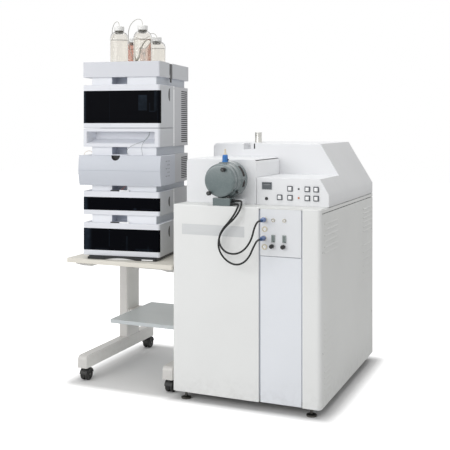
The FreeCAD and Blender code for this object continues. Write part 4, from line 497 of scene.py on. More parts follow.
def skinOf(name, solids, finish, slot, edge, over, node, local, still, cuts):
    # A merged copy of CAD solids, cut at the planes given: other finishes where a test on the local
    # place holds, and for faces that look one way if a direction is given; flat faces joined except
    # where still holds, edges softened and normals weighted by face area.
    verts, faces = joined(solids)
    mesh = bpy.data.meshes.new(name)
    mesh.from_pydata(verts.tolist(), [], faces)
    work = bmesh.new()
    work.from_mesh(mesh)
    for point, way in cuts:
        bmesh.ops.bisect_plane(work, geom=[*work.verts, *work.edges, *work.faces], dist=onCut,
                               plane_co=point, plane_no=way)
    work.to_mesh(mesh)
    work.free()
    count = len(mesh.polygons)
    centres, facing, index = np.zeros(count * 3), np.zeros(count * 3), np.zeros(count, int)
    mesh.polygons.foreach_get("center", centres)
    mesh.polygons.foreach_get("normal", facing)
    mesh.materials.append(looks[finish])
    for number, (other, test, *way) in enumerate(over, 1):
        mesh.materials.append(looks[other])
        found = test(*local(centres.reshape(-1, 3)).T)
        index[found & (facing.reshape(-1, 3) @ np.array(way[0]) > 0.75) if way else found] = number
    mesh.polygons.foreach_set("material_index", index)
    work = bmesh.new()
    work.from_mesh(mesh)
    spots = np.array([v.co for v in work.verts])
    fixed = still(*local(spots).T) if still else np.zeros(len(spots), bool)
    free = [e for e in work.edges if not (fixed[e.verts[0].index] or fixed[e.verts[1].index])]
    bmesh.ops.dissolve_limit(work, angle_limit=flatAngle, delimit={"MATERIAL"}, edges=free,
                             verts=[v for v in work.verts if not fixed[v.index]])
    work.to_mesh(mesh)
    work.free()
    mesh.shade_smooth()
    mesh.set_sharp_from_angle(angle=sharpAngle)
    piece = settled(name, mesh, bodyOf(node), [node])
    if edge:
        bevel = piece.modifiers.new("edge", "BEVEL")
        bevel.width = edge * mm
        bevel.segments = 2
        bevel.limit_method = "ANGLE"
        bevel.angle_limit = sharpAngle
        bevel.use_clamp_overlap = False
        bevel.harden_normals = True
    piece.modifiers.new("normals", "WEIGHTED_NORMAL").keep_sharp = True


def dressed(node, finishes, over=None, choose=None, local=cabinetLocal, still=None, cuts=()):
    # A skin for each kind of solid that choose tells from its corners, by default the one kind "skin".
    # finishes gives a kind's finish, slot and softened edge, and over its other finishes.
    groups = {}
    for solid in partedSolids(node):
        kind = choose(solid[0].min(0), solid[0].max(0)) if choose else "skin"
        groups.setdefault(kind, []).append(solid)
    for kind, group in groups.items():
        skinOf(f"{node}_{kind}", group, *finishes[kind], (over or {}).get(kind, ()), node, local, still, cuts)


# Camera, from the photograph's own perspective of the cabinet

print("camera")
cameraFacts = {"spot": (1.57127, -3.26532, 1.20907), "yaw": 22.98, "lens": 65.2, "shift": -0.2211}
camera = bpy.data.objects.new("camera", bpy.data.cameras.new("camera"))
bpy.context.scene.collection.objects.link(camera)
camera.location = cameraFacts["spot"]
camera.rotation_euler = (math.radians(90), 0, math.radians(cameraFacts["yaw"]))
camera.data.lens = cameraFacts["lens"]
camera.data.sensor_width = 36.0
camera.data.shift_y = cameraFacts["shift"]
bpy.context.scene.camera = camera


# Cords

print("cords")


def cordPiece(name, points, thick, finish, replaced=()):
    # A NURBS spline with the route's points, in the frame's metres, as its control points.
    curve = bpy.data.curves.new(name, "CURVE")
    curve.dimensions = "3D"
    curve.bevel_depth = thick / 2
    curve.bevel_resolution = 5
    curve.resolution_u = 10
    curve.use_fill_caps = True
    spline = curve.splines.new("NURBS")
    spline.points.add(len(points) - 1)
    for point, place in zip(spline.points, points):
        point.co = (*place, 1.0)
    spline.order_u = 3
    spline.use_endpoint_u = True
    curve.materials.append(looks[finish])
    cord = settled(name, curve, "root", replaced)


upperRoute = [(275, 13, 871), (300, 13, 871), (318, -4, 873), (325, -29, 865), (318, -44, 838),
              (292, -47, 802), (262, -46, 770), (244, -45, 735), (247, -45, 702), (268, -48, 677),
              (302, -55, 667), (338, -64, 672), (371, -78, 690), (399, -94, 718), (419, -107, 750),
              (428, -110, 782), (432, -98, 802), (432, -76, 812), (432, -50, 812)]
lowerRoute = [(275, 29, 884), (302, 29, 884), (323, 14, 886), (335, -10, 878), (332, -25, 849),
              (305, -27, 811), (270, -26, 781), (241, -25, 745), (231, -25, 703), (241, -28, 667),
              (272, -38, 637), (314, -53, 623), (352, -73, 629), (385, -92, 648), (409, -107, 674),
              (423, -110, 704), (430, -98, 724), (430, -76, 734), (430, -50, 734)]
sourceCables = {"cable_upper": (upperRoute, 0.595), "cable_lower": (lowerRoute, 0.645)}
plugFacts = {"radius": 11.0, "length": 30.0, "bootStart": -29.5, "bootLength": 22.0}


def plugSkin(x, z):
    # Metal plug shell with a knurled nut, lathed about the plug's axis.
    r, end = plugFacts["radius"], plugFacts["length"]
    profile = filleted([(6.0, 0), (r, 0), (r, 9), (r - 1.5, 10.5), (r - 1.5, 24), (r - 3.5, end), (6.0, end)],
                       [0, 1.2, 1.0, 0.8, 2.0, 1.5, 0])
    return lathed(profile, (x, 0, z), (0, -1, 0), 64, 32, 0.5, (11.0, 23.0))


def bootSkin(x, z):
    # Ribbed strain relief, tapering down on to the cable: r falls with d, in five soft ribs.
    long = plugFacts["bootLength"]
    d = np.linspace(0, long, 45)
    r = 6.6 - 2.2 * (d / long) + 0.45 * np.sin(2 * math.pi * d / 4.4) * (d < 20)
    profile = np.concatenate([[(0.5, 0)], np.column_stack([r, d]), [(0.5, long)]])
    return lathed(profile, (x, plugFacts["bootStart"], z), (0, -1, 0), 32)


for name, (route, length) in sourceCables.items():
    x, y, z = route[-1]
    held = [finishPiece(name + "_plug", plugSkin(x, z), "plug", "plug_metal", "root", ["cable_plugs"]),
            finishPiece(name + "_boot", bootSkin(x, z), "boot", "plug_metal", "root", ["cable_plugs"])]
    cordPiece(name + "_cord", cabinetPoints(route), 0.008, "blackCord",
              [name])

bottleFacts = {"places": [(137.0, 108.0), (258.0, 102.0), (140.0, 292.0), (266.0, 275.0)],
               "heights": [238.0, 238.0, 200.0, 200.0],
               "glass": ["clearGlass", "clearGlass", "amberGlass", "clearGlass"],
               "radius": 43.5, "wall": 2.5, "neck": 19.0, "shoulder": 0.745, "fill": 0.735, "rise": 0.155,
               "cap": 24.0, "capHeight": 22.0}
trayFloor = levels["tray"][0] + 6.0
grommetTop = trayFloor + 5.0

# Each tube as steps from its bottle's mouth, then its length and the grommet it falls into
solventRuns = [
    ([(0, 0, 0), (0, 0, 14), (-14, 10, 27), (-36, 24, 19), (-52, 38, -9), (-59, 52, -48), (-62, 66, -92),
      (-69, 77, -140), (-74, 84, -188)], 0.329, (62.0, 194.0), 22),
    ([(0, 0, 0), (-4, 6, 22), (-26, 22, 36), (-58, 42, 32), (-88, 58, 10), (-102, 70, -30), (-100, 78, -74),
      (-92, 84, -120), (-78, 89, -164), (-64, 93, -205)], 0.386, (198.0, 190.0), 16),
    ([(0, 0, 0), (1, -4, 14), (14, -18, 22), (34, -40, 6), (46, -60, -28), (50, -74, -68), (53, -82, -112),
      (55, -88, -156)], 0.281, (198.0, 202.0), 18),
    ([(0, 0, 0), (-3, -5, 14), (-18, -20, 20), (-38, -42, 2), (-50, -58, -34), (-54, -68, -76), (-57, -74, -120),
      (-59, -78, -162)], 0.277, (204.0, 196.0), 16)]
for k, (steps, length, (x, y), rise) in enumerate(solventRuns):
    mouth = (*bottleFacts["places"][k], trayFloor + bottleFacts["heights"][k] + 3)
    route = [*(np.array(steps, float) + mouth), (x, y, grommetTop + rise), (x, y, grommetTop)]
    cordPiece(f"solvent_tube_{k + 1}_cord", stackPoints(route), 0.0032, "clearTube",
              replaced=[f"solvent_tube_{k + 1}"])

# Thin lines between two modules: where the steps start, the steps, length, thickness and looks
recessSpot = (stackSpot["width"] - 52, 0, levels["sampler"][0] + 71.0)
thinLines = {
    "capillary_cord": (recessSpot, [(0, 10, -1), (3, 6, -14), (-4, 0, -30), (-24, -6, -44), (-54, -8, -54),
                                    (-84, -8, -66), (-104, -7, -84), (-106, -2, -99), (-105, 6, -101),
                                    (-105, 8, -109)], 0.178, 0.0016, "greenTube", "capillary_green", ["capillary"]),
    "capillary_right": (recessSpot, [(2, 14, -1), (-2, 6, -18), (-14, -2, -36), (-26, -6, -52), (-32, -7, -68),
                                     (-33, -4, -84), (-33, 4, -99), (-33, 9, -109)],
                        0.125, 0.0014, "greenTube", "capillary_green", ()),
    "drain_loop": ((0, 0, levels["oven"][1]), [(40, 30, 2), (36, 26, 13), (26, 16, 21), (14, 6, 17), (6, 2, 9),
                                               (3, 6, 2)], 0.062, 0.0016, "tanTube", "tube_clear", ()),
    "drain_line": ((0, 0, levels["oven"][0]), [(204, 24, -1), (203, 16, -5), (199, 9, -12), (190, 7, -20),
                                               (184, 9, -26)], 0.0399, 0.0018, "orangeTube", "tube_clear", ()),
}
for name, (start, steps, length, thick, finish, slot, replaced) in thinLines.items():
    cordPiece(name, stackPoints(np.array(steps, float) + start), thick, finish, replaced=replaced)


# Cabinet and table

print("cabinet")


def deckOrPost(low, high):
    if high[2] > 0.86:
        return "deck"
    return "pan" if high[0] - low[0] > 0.5 else "posts"


rightward = (1.0, 0.0, 0.0)
for node, finish, slot, edge in (
        ("front_left_panel", "cabinet", "cabinet_white", 0.5), ("front_right_panel", "cabinet", "cabinet_white", 0.5),
        ("connector_panel", "connector", "panel_grey", 0.5), ("lower_centre_panel", "centre", "panel_grey", 0.5),
        ("control_panel", "hood", "hood_white", 0.6), ("side_panels", "side", "cabinet_white", 0.3),
        ("tabletop", "laminate", "table_laminate", 0.6), ("lower_shelf", "shelf", "shelf_grey", 1.0),
        ("electronics_rack", "rack", "rack_steel", 0.6), ("vacuum_chamber", "chamber", "inner_metal", 0.0),
        ("levelling_feet", "foot", "foot_steel", 0.4), ("top_port", "hood", "hood_white", 0.6)):
    dressed(node, {"skin": (finish, slot, edge)})
# The table frame's right-facing faces take a lighter copy of its paint, as painted light.
dressed("table_frame", {"skin": ("legs", "table_steel", 1.2)},
        {"skin": [("legSide", lambda x, y, z: z > 0.0, rightward)]})
# The source plate's right-facing faces take the lens white, lighter than the hood's, as painted light.
dressed("source_plate", {"skin": ("hood", "hood_white", 1.0)},
        {"skin": [("lens", lambda x, y, z: x > 340.0, rightward)]})
# The hood's leaning right side takes a darker copy of its skin, as painted shade.
dressed("hood_cover", {"skin": ("hood", "hood_white", 1.0)},
        {"skin": [("hoodSide", lambda x, y, z: x > 400.0, rightward)]})
dressed("cabinet_frame", {"deck": ("side", "cabinet_white", 0.4), "posts": ("zinc", "cabinet_white", 0.4),
                          "pan": ("zinc", "cabinet_white", 0.4)}, choose=deckOrPost)
dressed("rear_panel", {"sheet": ("rear", "cabinet_white", 0.2), "inlet": ("blackPlastic", "switch_black", 0.8)},
        choose=lambda low, high: "sheet" if high[0] - low[0] > 0.3 else "inlet")

# The bare grey plate let into the left panel, and pale strips of painted shade deep in the gaps beside the middle
# panels
finishPiece("stripe_plate", slabSkin((48.0, 0.12, 732.0), (342.0, 0.8, 778.0), 1.0, 0.15, 5), "stripe", "panel_grey")
gapShadeFacts = {"y": (8.5, 12.0), "z": (66.0, 852.0), "wide": 4.6, "left": 408.2}
rightGap = cabinetLocal(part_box("front_right_panel")[0])[0] - 4.8
finishPiece("gap_seals", [slabSkin((x, gapShadeFacts["y"][0], gapShadeFacts["z"][0]),
                                   (x + gapShadeFacts["wide"], gapShadeFacts["y"][1], gapShadeFacts["z"][1]), 0.6, 0.3, 3)
                          for x in (gapShadeFacts["left"], rightGap)], "seal", "panel_grey")

# Flat contacts of the power inlet: rounded slabs that stand out towards the back
inletFacts = {"middle": (120.0, 145.0), "gap": 14.0, "half": (1.0, 3.0), "y": (930.0, 944.0)}
contacts = []
for dx, dz in ((-inletFacts["gap"], -3.0), (0.0, 4.0), (inletFacts["gap"], -3.0)):
    (x, z), (wide, tall), (y0, y1) = inletFacts["middle"], inletFacts["half"], inletFacts["y"]
    contacts.append(slabSkin((x + dx - wide, y0, z + dz - tall), (x + dx + wide, y1, z + dz + tall), 0.6, 0.5, 3))
finishPiece("inlet_contacts", contacts, "socket", "fitting_metal")

screwFacts = {"places": [(28.0, 683.0), (30.0, 265.0), (925.0, 680.0), (925.0, 258.0)], "sides": (0.0, 680.0),
              "radius": 4.3, "proud": 1.5}


def screwSkin(spot, axis):
    # A pan head: a quarter ellipse profile with a shallow round hollow at its middle.
    radius, proud = screwFacts["radius"], screwFacts["proud"]
    t = np.linspace(0, math.pi / 2, 6)
    rim = np.column_stack([radius * np.cos(t), proud * np.sin(t)])
    profile = np.concatenate([[(radius, -0.3)], rim[rim[:, 0] > radius * 0.35],
                              [(radius * 0.34, proud * 0.94), (radius * 0.30, proud * 0.4), (0.001, proud * 0.4)]])
    return lathed(profile, spot, axis, 18)


finishPiece("side_screws", [screwSkin((x, y, z), (way, 0, 0)) for x, way in zip(screwFacts["sides"], (-1, 1))
                            for y, z in screwFacts["places"]], "zinc", "fitting_metal")

# Top port: the pipe stub with its rolled rim, and a black slab of painted shade for the slot of its column
portFacts = {"x": 230.0, "y": 470.0, "base": 1124.0, "top": 1176.0, "radius": 16.0}
r, low, high = portFacts["radius"], portFacts["base"], portFacts["top"]
pipe = turned([(r + 4, low + 3), (r + 4, low + 5), (r + 0.3, low + 6), (r + 0.3, high - 3), (r + 0.9, high - 2),
               (r + 0.9, high), (r - 2.5, high), (r - 2.5, high - 18), (0.01, high - 18)],
              [0, 0.8, 1.0, 0.8, 0.8, 1.0, 0.8, 0.5, 0], (portFacts["x"], portFacts["y"], 0), (0, 0, 1), 48)
finishPiece("port_pipe", pipe, "pipe", "fitting_metal", "root", ["top_port"])
finishPiece("port_slot", slabSkin((221.2, 431.6, 1097.5), (226.8, 441.8, 1121.5), 0.6, 0.2, 3), "blackPlastic",
            "switch_black")


# Ion source

print("ion source")
sourceFacts = {"x": 230.0, "z": 972.0, "y": 38.0, "coverFront": -10.0, "coverRadius": 72.0, "coverEdge": 12.0,
               "dome": 1.4, "coverBack": 20.0, "spigot": 52.0, "ringFront": 62.0, "ringRadius": 80.0,
               "knobRadius": 9.4, "knobLength": 20.0, "slotSpan": (9.0, 33.0),
               "slots": [(29.0, 19.0), (-14.0, 9.0), (151.0, 19.0), (194.0, 9.0)],
               "knobs": {"upper": (23.0, 48.0), "lower": (-43.0, -55.0)},
               "caps": ((62.0, 40.0, -52.0), (35.0, 8.0, -71.5)), "sprayer": (78.0, 110.0)}
sx, sy, sz = sourceFacts["x"], sourceFacts["y"], sourceFacts["z"]
dressed("source_housing", {"skin": ("enamel", "source_enamel", 0.7)})


def coverSkin():
    # Domed disc: depth falls with the square of r to the edge's start, then a quarter circle round it,
    # then the plain rim and the spigot behind.
    edge, outer, dome = sourceFacts["coverEdge"], sourceFacts["coverRadius"], sourceFacts["dome"]
    spigot, back = sourceFacts["spigot"], sourceFacts["coverBack"] - sourceFacts["coverFront"]
    r = np.linspace(0.0, outer - edge, 14)
    face = np.column_stack([r, dome * (r / (outer - edge)) ** 2])
    t = np.linspace(0.12, math.pi / 2, 12)
    rim = np.column_stack([outer - edge + edge * np.sin(t), dome + (edge - dome) * (1 - np.cos(t))])
    tail = [(outer, back - 1.0), (outer - 1.0, back), (spigot, back), (spigot, back + 13.0),
            (spigot - 1.0, back + 14.0), (0.01, back + 14.0)]
    return lathed(np.concatenate([face, rim, tail]), (sx, sourceFacts["coverFront"], sz), (0, 1, 0), 96)


def thumbKnob(spot, radius, long, flutes, cut):
    # A moulded knob seen along its axis: rounded face, fluted grip and a short collar at its back.
    profile = filleted([(0.01, 0.6), (radius * 0.55, 0.6), (radius * 0.62, 0.0), (radius, 0.0), (radius, long * 0.78),
                        (radius * 0.8, long * 0.8), (radius * 0.8, long), (0.01, long)],
                       [0, 0.6, 0.6, 1.8, 0.8, 0.6, 0.4, 0])
    return lathed(profile, spot, (0, 1, 0), 72, flutes, cut, (1.2, long * 0.74))


finishPiece("source_cover_disc", coverSkin(), "enamel", "source_enamel", "source_cover", ["source_cover"])
for name, (dx, dz) in sourceFacts["knobs"].items():
    node = "source_knob_" + name
    front = cabinetLocal(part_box(node)[0])[1] + 14.0 - sourceFacts["knobLength"]
    knob = thumbKnob((sx + dx, front, sz + dz), sourceFacts["knobRadius"], sourceFacts["knobLength"], 12, 1.1)
    finishPiece(node + "_grip", knob, "knob", "knob_black", bodyOf(node), [node])
    face = lathed([(0.01, 0.0), (3.8, 0.0), (4.6, 0.5), (4.6, 1.4)], (sx + dx, front - 0.1, sz + dz), (0, 1, 0), 36)
    finishPiece(node + "_face", face, "knobFace", "knob_black", bodyOf(node))


def slotSkin(middle, half):
    # A dark patch over a slot of the ring: angle across, depth along, its corners rounded by narrowing
    # the angle with the square root near both ends.
    v = np.linspace(-1, 1, 15)[:, None]
    u = np.linspace(-1, 1, 25)[None, :]
    y0, y1 = sourceFacts["slotSpan"]
    a = np.radians(middle + half * (0.80 + 0.20 * np.sqrt(np.clip(1 - v ** 2, 0, 1))) * u)
    r = sourceFacts["ringRadius"] + 0.3
    y = sourceFacts["ringFront"] + (y0 + y1) / 2 + v * (y1 - y0) / 2 + 0 * u
    return np.stack([sx + r * np.cos(a), y, sz + r * np.sin(a)], -1), gridFaces(15, 25, False)


# The dark patches over the ring's slots are painted shade.
finishPiece("ring_slots", [slotSkin(*slot) for slot in sourceFacts["slots"]], "slotBrown", "knob_black",
            solid=1.2 * mm)
finishPiece("latch_caps", [turned([(0.01, 0), (6.2, 0), (6.2, 6.0), (0.01, 6.0)], [0, 1.6, 0.6, 0],
                                  (sx + dx, y, sz + dz), (0, 1, 0), 28) for dx, y, dz in sourceFacts["caps"]],
            "blackPlastic", "knob_black")

# Glands where the cables leave the block: a plain nut, then a sleeve that thins in five soft ribs
d = np.linspace(0, 15, 31)
sleeve = np.concatenate([[(4.05, 0.0), (8.2, 0.0), (8.2, 3.6), (6.9, 4.2)],
                         np.column_stack([6.6 - 0.10 * (d + 4) + 0.35 * np.sin(2 * math.pi * d / 3.0), d + 4.2]),
                         [(4.05, 19.4)]])
finishPiece("cable_glands", [lathed(sleeve, route[0], rightward, 32) for route, length in sourceCables.values()],
            "blackPlastic", "cable_black")


def sprayerSkin():
    # Blue body: barrel with a coarse thread, r against height falling and rising in even waves.
    low, high = sourceFacts["sprayer"]
    end = high - low
    d = np.linspace(4.0, end - 3.0, 61)
    thread = np.column_stack([12.6 + 0.55 * np.sin(2 * math.pi * (d - 4.0) / 4.4) - 1.6 * (d / end) ** 3, d])
    profile = np.concatenate([[(0.01, 0), (13.2, 0), (13.2, 3.4)], thread,
                              [(9.6, end), (5.0, end), (5.0, end - 1), (0.01, end - 1)]])
    return lathed(profile, (sx + 8, sy, sz + low), (0, 0, 1), 72)


tip = turned([(0.01, -1), (8, -1), (8, 3), (6.4, 6), (4.6, 9), (4.4, 24), (3.6, 26.5), (1.2, 26.5), (1.2, 22),
              (0.01, 22)], [0, 0.6, 1.0, 1.0, 1.0, 0.8, 0.5, 0.3, 0.3, 0],
             (sx + 8, sy, sz + sourceFacts["sprayer"][1] - 1), (0, 0, 1), 40)
screw = turned([(0.01, 0), (3.2, 0), (3.2, 5), (0.01, 5)], [0, 0.8, 0.4, 0], (sx + 20.2, sy, sz + 88), (1, 0, 0.15), 20)
finishPiece("sprayer_body", sprayerSkin(), "sprayer", "sprayer_blue", "root", ["sprayer"])
finishPiece("sprayer_tip", tip, "tip", "sprayer_blue", "root", ["sprayer"])
finishPiece("sprayer_screw", screw, "sprayerDark", "knob_black")


# Console

print("console")
consoleFacts = {"front": 122.0, "cap": 15.4, "display": (401.0, 946.0), "jack": (399.0, 890.0),
                "switches": [(460.0, 897.5), (507.0, 936.0), (507.0, 897.5), (585.0, 936.0), (585.0, 897.5),
                             (624.0, 936.0), (624.0, 897.5)]}
dressed("switch_bezels", {"skin": ("switch", "switch_black", 0.5)})
for k, (x, z) in enumerate(consoleFacts["switches"]):
    node, half, front = f"button_{k + 1}", consoleFacts["cap"] / 2, consoleFacts["front"] - 7.0
    cap = slabSkin((x - half, front, z - half), (x + half, front + 15.5, z + half), 1.6, 1.4, 6)
    finishPiece(f"switch_cap_{k + 1}", cap, "cap", "button_white", bodyOf(node), [node])
    half -= 2.6
    lens = slabSkin((x - half, front - 0.25, z - half), (x + half, front + 0.4, z + half), 1.0, 0.2, 5)
    finishPiece(f"switch_lens_{k + 1}", lens, "lens", "button_white", bodyOf(node))


def fittingKind(low, high):
    # Which console or connector fitting a solid is, from its middle in cabinet millimetres.
    x, y, z = cabinetLocal((low + high) / 2)
    wide, deep, tall = (high - low) / mm
    if y > 100:
        if wide > 12:
            return "display" if wide > 40 else "jack"
        return "lampDark" if z > 916 else "lampAmber"
    if tall > 28:
        return "meters"
    return "small" if wide < 18 else "rings"


fittings = {"display": ("display", 0.5), "jack": ("blackPlastic", 0.4), "lampDark": ("lampDark", 0.8),
            "lampAmber": ("amberLamp", 0.8), "meters": ("meter", 0.6), "small": ("socket", 0.4),
            "rings": ("ring", 0.5)}
dressed("panel_fittings", {kind: (finish, "fitting_metal", edge) for kind, (finish, edge) in fittings.items()},
        choose=fittingKind)
x, z = consoleFacts["display"]
front = consoleFacts["front"] - 3.0
for name, low, high, finish in (("display_glass", -13.5, 8.5, "displayGlass"),
                                ("display_band", 9.0, 14.0, "displayDark")):
    finishPiece(name, slabSkin((x - 20.5, front - 0.35, z + low), (x + 20.5, front + 0.2, z + high), 0.8, 0.2, 5),
                finish, "fitting_metal")
finishPiece("display_keys", [slabSkin((x - 19.5 + 10.2 * k, front - 0.9, z - 15.4),
                                      (x - 12.5 + 10.2 * k, front - 0.2, z - 14.2), 0.4, 0.2, 3) for k in range(4)],
            "displayDark", "fitting_metal")
x, z = consoleFacts["jack"]
jack = turned([(0.01, 2.4), (3.4, 2.4), (3.9, 0.2), (6.6, 0.0), (6.9, 1.0), (6.9, 3.0)], [0, 0.5, 0.5, 0.6, 0.4, 0],
              (x, front - 0.2, z), (0, 1, 0), 36)
finishPiece("jack_mouth", jack, "blackPlastic", "fitting_metal")

# Sockets, flow meters and gas valves of the connector panel
panelFacts = {"rings": [(434.0, 772.0), (433.0, 697.0)], "small": [(472.0, 811.0), (521.0, 811.0)],
              "meters": [(472.0, 734.0), (521.0, 734.0)], "valves": {"left": (468.0, 702.0), "right": (518.0, 702.0)},
              "valveRadius": 9.0, "valveLength": 20.0}
pins = []
for kind, inner, count in (("ring", 7.9, 4), ("small", 4.9, 3)):
    inserts = []
    for x, z in panelFacts["rings" if kind == "ring" else "small"]:
        inserts.append(lathed([(0.01, 1.0), (inner - 1.6, 1.0), (inner - 1.2, 1.4), (inner - 1.2, 4.2)], (x, -0.2, z),
                              (0, 1, 0), 28))
        for k in range(count):
            a = math.radians(45 + 360 * k / count)
            spot = (x + inner * 0.42 * math.cos(a), -0.2, z + inner * 0.42 * math.sin(a))
            pins.append(turned([(0.01, 0), (0.7, 0.3), (0.7, 2.6)], [0, 0.4, 0], spot, (0, 1, 0), 10))
    finishPiece(kind + "_inserts", inserts, "cap", "fitting_metal")
finishPiece("socket_pins", pins, "socket", "fitting_metal")
finishPiece("meter_windows", [slabSkin((x - 3.6, 0.4, z - 11.2), (x + 3.6, 1.4, z + 11.2), 1.2, 0.3, 4)
                              for x, z in panelFacts["meters"]], "meterGlass", "fitting_metal")
finishPiece("meter_knobs", [turned([(0.01, 0), (2.1, 0), (2.1, 1.4)], [0, 0.5, 0], (x + 4.6, -1.9, z - 12.2),
                                   (0, 1, 0), 18) for x, z in panelFacts["meters"]], "blackPlastic", "knob_black")
for side, (x, z) in panelFacts["valves"].items():
    node = "valve_knob_" + side
    knob = thumbKnob((x, cabinetLocal(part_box(node)[0])[1], z), panelFacts["valveRadius"], panelFacts["valveLength"],
                     10, 1.2)
    finishPiece(node + "_grip", knob, "knob", "knob_black", bodyOf(node), [node])


# Castors

print("castors")
castorFacts = {"radius": 28.0, "inner": 5.3, "wide": 14.0}


def castorSkin(spot, side):
    # One wheel: tread, rounded shoulder, dished face and hub, r against distance from the web.
    inner, r = castorFacts["inner"], castorFacts["radius"]
    end = inner + castorFacts["wide"]
    return turned([(4.2, inner), (r - 1.5, inner), (r, inner + 1.5), (r, end - 3), (r - 3, end), (r - 8, end),
                   (r - 10, end - 2), (9.5, end - 2.6), (8, end - 2), (6, end - 0.2), (0.01, end - 0.2)],
                  [0, 0.6, 1.2, 1.5, 1.5, 0.8, 0.8, 0.8, 0.8, 0.8, 0], spot, (side, 0, 0), 56)


for fork in [name for name in frame["nodes"] if name.startswith("castor_fork")]:
    dressed(fork, {"skin": ("castor", "castor_black", 0.5)})
    wheel = fork.replace("fork", "wheel")
    low, high = [cabinetLocal(corner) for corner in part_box(wheel)]
    spot = ((low[0] + high[0]) / 2, (low[1] + high[1]) / 2, castorFacts["radius"])
    finishPiece(wheel + "_tread", [castorSkin(spot, side) for side in (-1, 1)], "castor", "castor_black",
                bodyOf(wheel), [wheel])
    ends = [turned([(0.01, 19.7), (3.0, 19.6), (3.6, 18.4)], [0, 0.6, 0], spot, (side, 0, 0), 18) for side in (-1, 1)]
    finishPiece(wheel + "_axle", [lathed([(3.6, -19.0), (3.6, 19.0)], spot, (1, 0, 0), 18)] + ends, "zinc",
                "fitting_metal", bodyOf(wheel))


# Module stack

print("modules")
deepFacts = {"strip": 198.0, "back": 214.0, "rearLouvres": 335.0, "last": 428.5}


def onSides(x, y, z):
    # The outer side faces of a module, behind its rounded front corners, which take a darker copy of the module's skin
    # as painted shade.
    return (np.abs(x - halfWidth) > halfWidth - 0.5) & (y > 9.5)


def coverKind(node):
    # Tells a cover's shell, window and finger cups apart by their height and width.
    low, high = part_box(node)

    def kind(first, last):
        if last[0] - first[0] < 0.05:
            return "cups"
        return "shell" if last[2] - first[2] > 0.9 * (high[2] - low[2]) else "window"
    return kind


# Black half-oval finger holds over the openings in the covers' sides
gripFacts = {"back": 147.0, "depth": 24.0, "proud": 0.2, "thick": 2.6}
gripHeights = {"pump_cover": (94.0, 146.0), "degasser_cover": (237.0, 285.0), "sampler_cover": (733.0, 795.0)}


def gripSkin(x0, x1, low, high):
    # Half oval: y falls by depth times the sine while z goes from low to high, closed by a straight back.
    t = np.linspace(0, math.pi, 25)
    bow = np.column_stack([gripFacts["back"] - gripFacts["depth"] * np.sin(t),
                           (low + high) / 2 - (high - low) / 2 * np.cos(t)])
    middle = np.repeat([[gripFacts["back"] - 4.0, (low + high) / 2]], len(t), 0)
    rings = [np.column_stack([np.full(len(t), x), ring])
             for x, ring in ((x0, middle), (x0, bow), (x1, bow), (x1, middle))]
    return np.array(rings), gridFaces(4, len(t))


for node, (low, high) in gripHeights.items():
    dressed(node, {"shell": ("module", "module_white", 0.5), "window": (node, "module_white", 0.3),
                   "cups": ("blackPlastic", "module_white", 0.0)}, {"shell": [("moduleSide", onSides)]},
            coverKind(node), stackLocal)
    start, end = -gripFacts["proud"], gripFacts["thick"] - gripFacts["proud"]
    stackPiece(node + "_grips", [gripSkin(start, end, low, high),
                                 gripSkin(stackSpot["width"] - end, stackSpot["width"] - start, low, high)],
               "blackPlastic", "switch_black", bodyOf(node))


def inStrip(x, y, z):
    # The lighter strip between a module's cover and its metal case.
    return (y > deepFacts["strip"] - 0.1) & (y < deepFacts["back"] + 0.1) & (np.abs(x - halfWidth) > halfWidth - 1.5)


def behindStrip(x, y, z):
    return y > deepFacts["back"] + 0.1


def inSlots(x, y, z):
    # The floors and walls of the rear louvres, which lie a little inside the case's sides and are painted dark as
    # shade.
    sideways = np.abs(x - halfWidth)
    return (y > deepFacts["rearLouvres"] - 1) & (y < deepFacts["last"]) & (sideways > 180.5) & (sideways < 183.8)


def inHollow(x, y, z):
    # The walls of the open hollow at the middle of a neck, painted darker and bluer as shade.
    return (x > 139.0) & (x < 216.5) & (y > 14.5) & (y < 74.5)


def besideNeck(x, y, z):
    return (y > 20.0) & ((x < 40.5) | (x > 357.5))


# A neck's hollow and its sides take darker, bluer skins, as painted shade.
neckOver = [("hollow", inHollow), ("neckSide", besideNeck)]


def caseKind(low, high):
    # Tells a case's body, neck, base and inner pieces apart in stack millimetres.
    wide, deep, tall = (high - low) / mm
    if wide > 300 and deep > 400:
        return "body" if tall > 45 else ("base" if stackLocal(high)[2] < 17 else "neck")
    return "inner"


# The two lower cases have a seam at the strip. The others get cuts there, and the oven's side, which
# has holes, stays in triangles, as do all louvres.
planeWay = stackPoints((0, 1000, 0)) - stackPoints((0, 0, 0))
seams = [(stackPoints((0, deepFacts[end], 0)), planeWay) for end in ("strip", "back")]
for node in ("pump_case", "degasser_case", "oven_case", "sampler_case"):
    start = -900.0 if node == "oven_case" else deepFacts["rearLouvres"] - 2
    over = [("light", inStrip), ("case", behindStrip), ("slotDark", inSlots)]
    # The sampler case's outer sides take the darker side skin, as painted shade.
    if node == "sampler_case":
        over.insert(0, ("moduleSide", onSides))
    dressed(node, {"body": ("oven" if node == "oven_case" else "module", "module_white", 0.5),
                   "neck": ("neck", "module_white", 0.5), "base": ("blackPlastic", "knob_black", 0.8),
                   "inner": ("chamber", "inner_metal", 0.4)}, {"body": over, "neck": neckOver}, caseKind, stackLocal,
            lambda x, y, z: y > start, seams if node in ("oven_case", "sampler_case") else ())

# The base's top keeps a little off the cover that slides out over it
for vertex in bpy.data.objects["pump_case_base"].data.vertices:
    if stackLocal(np.array(vertex.co))[2] > 15.0:
        vertex.co.z -= 0.4 * mm
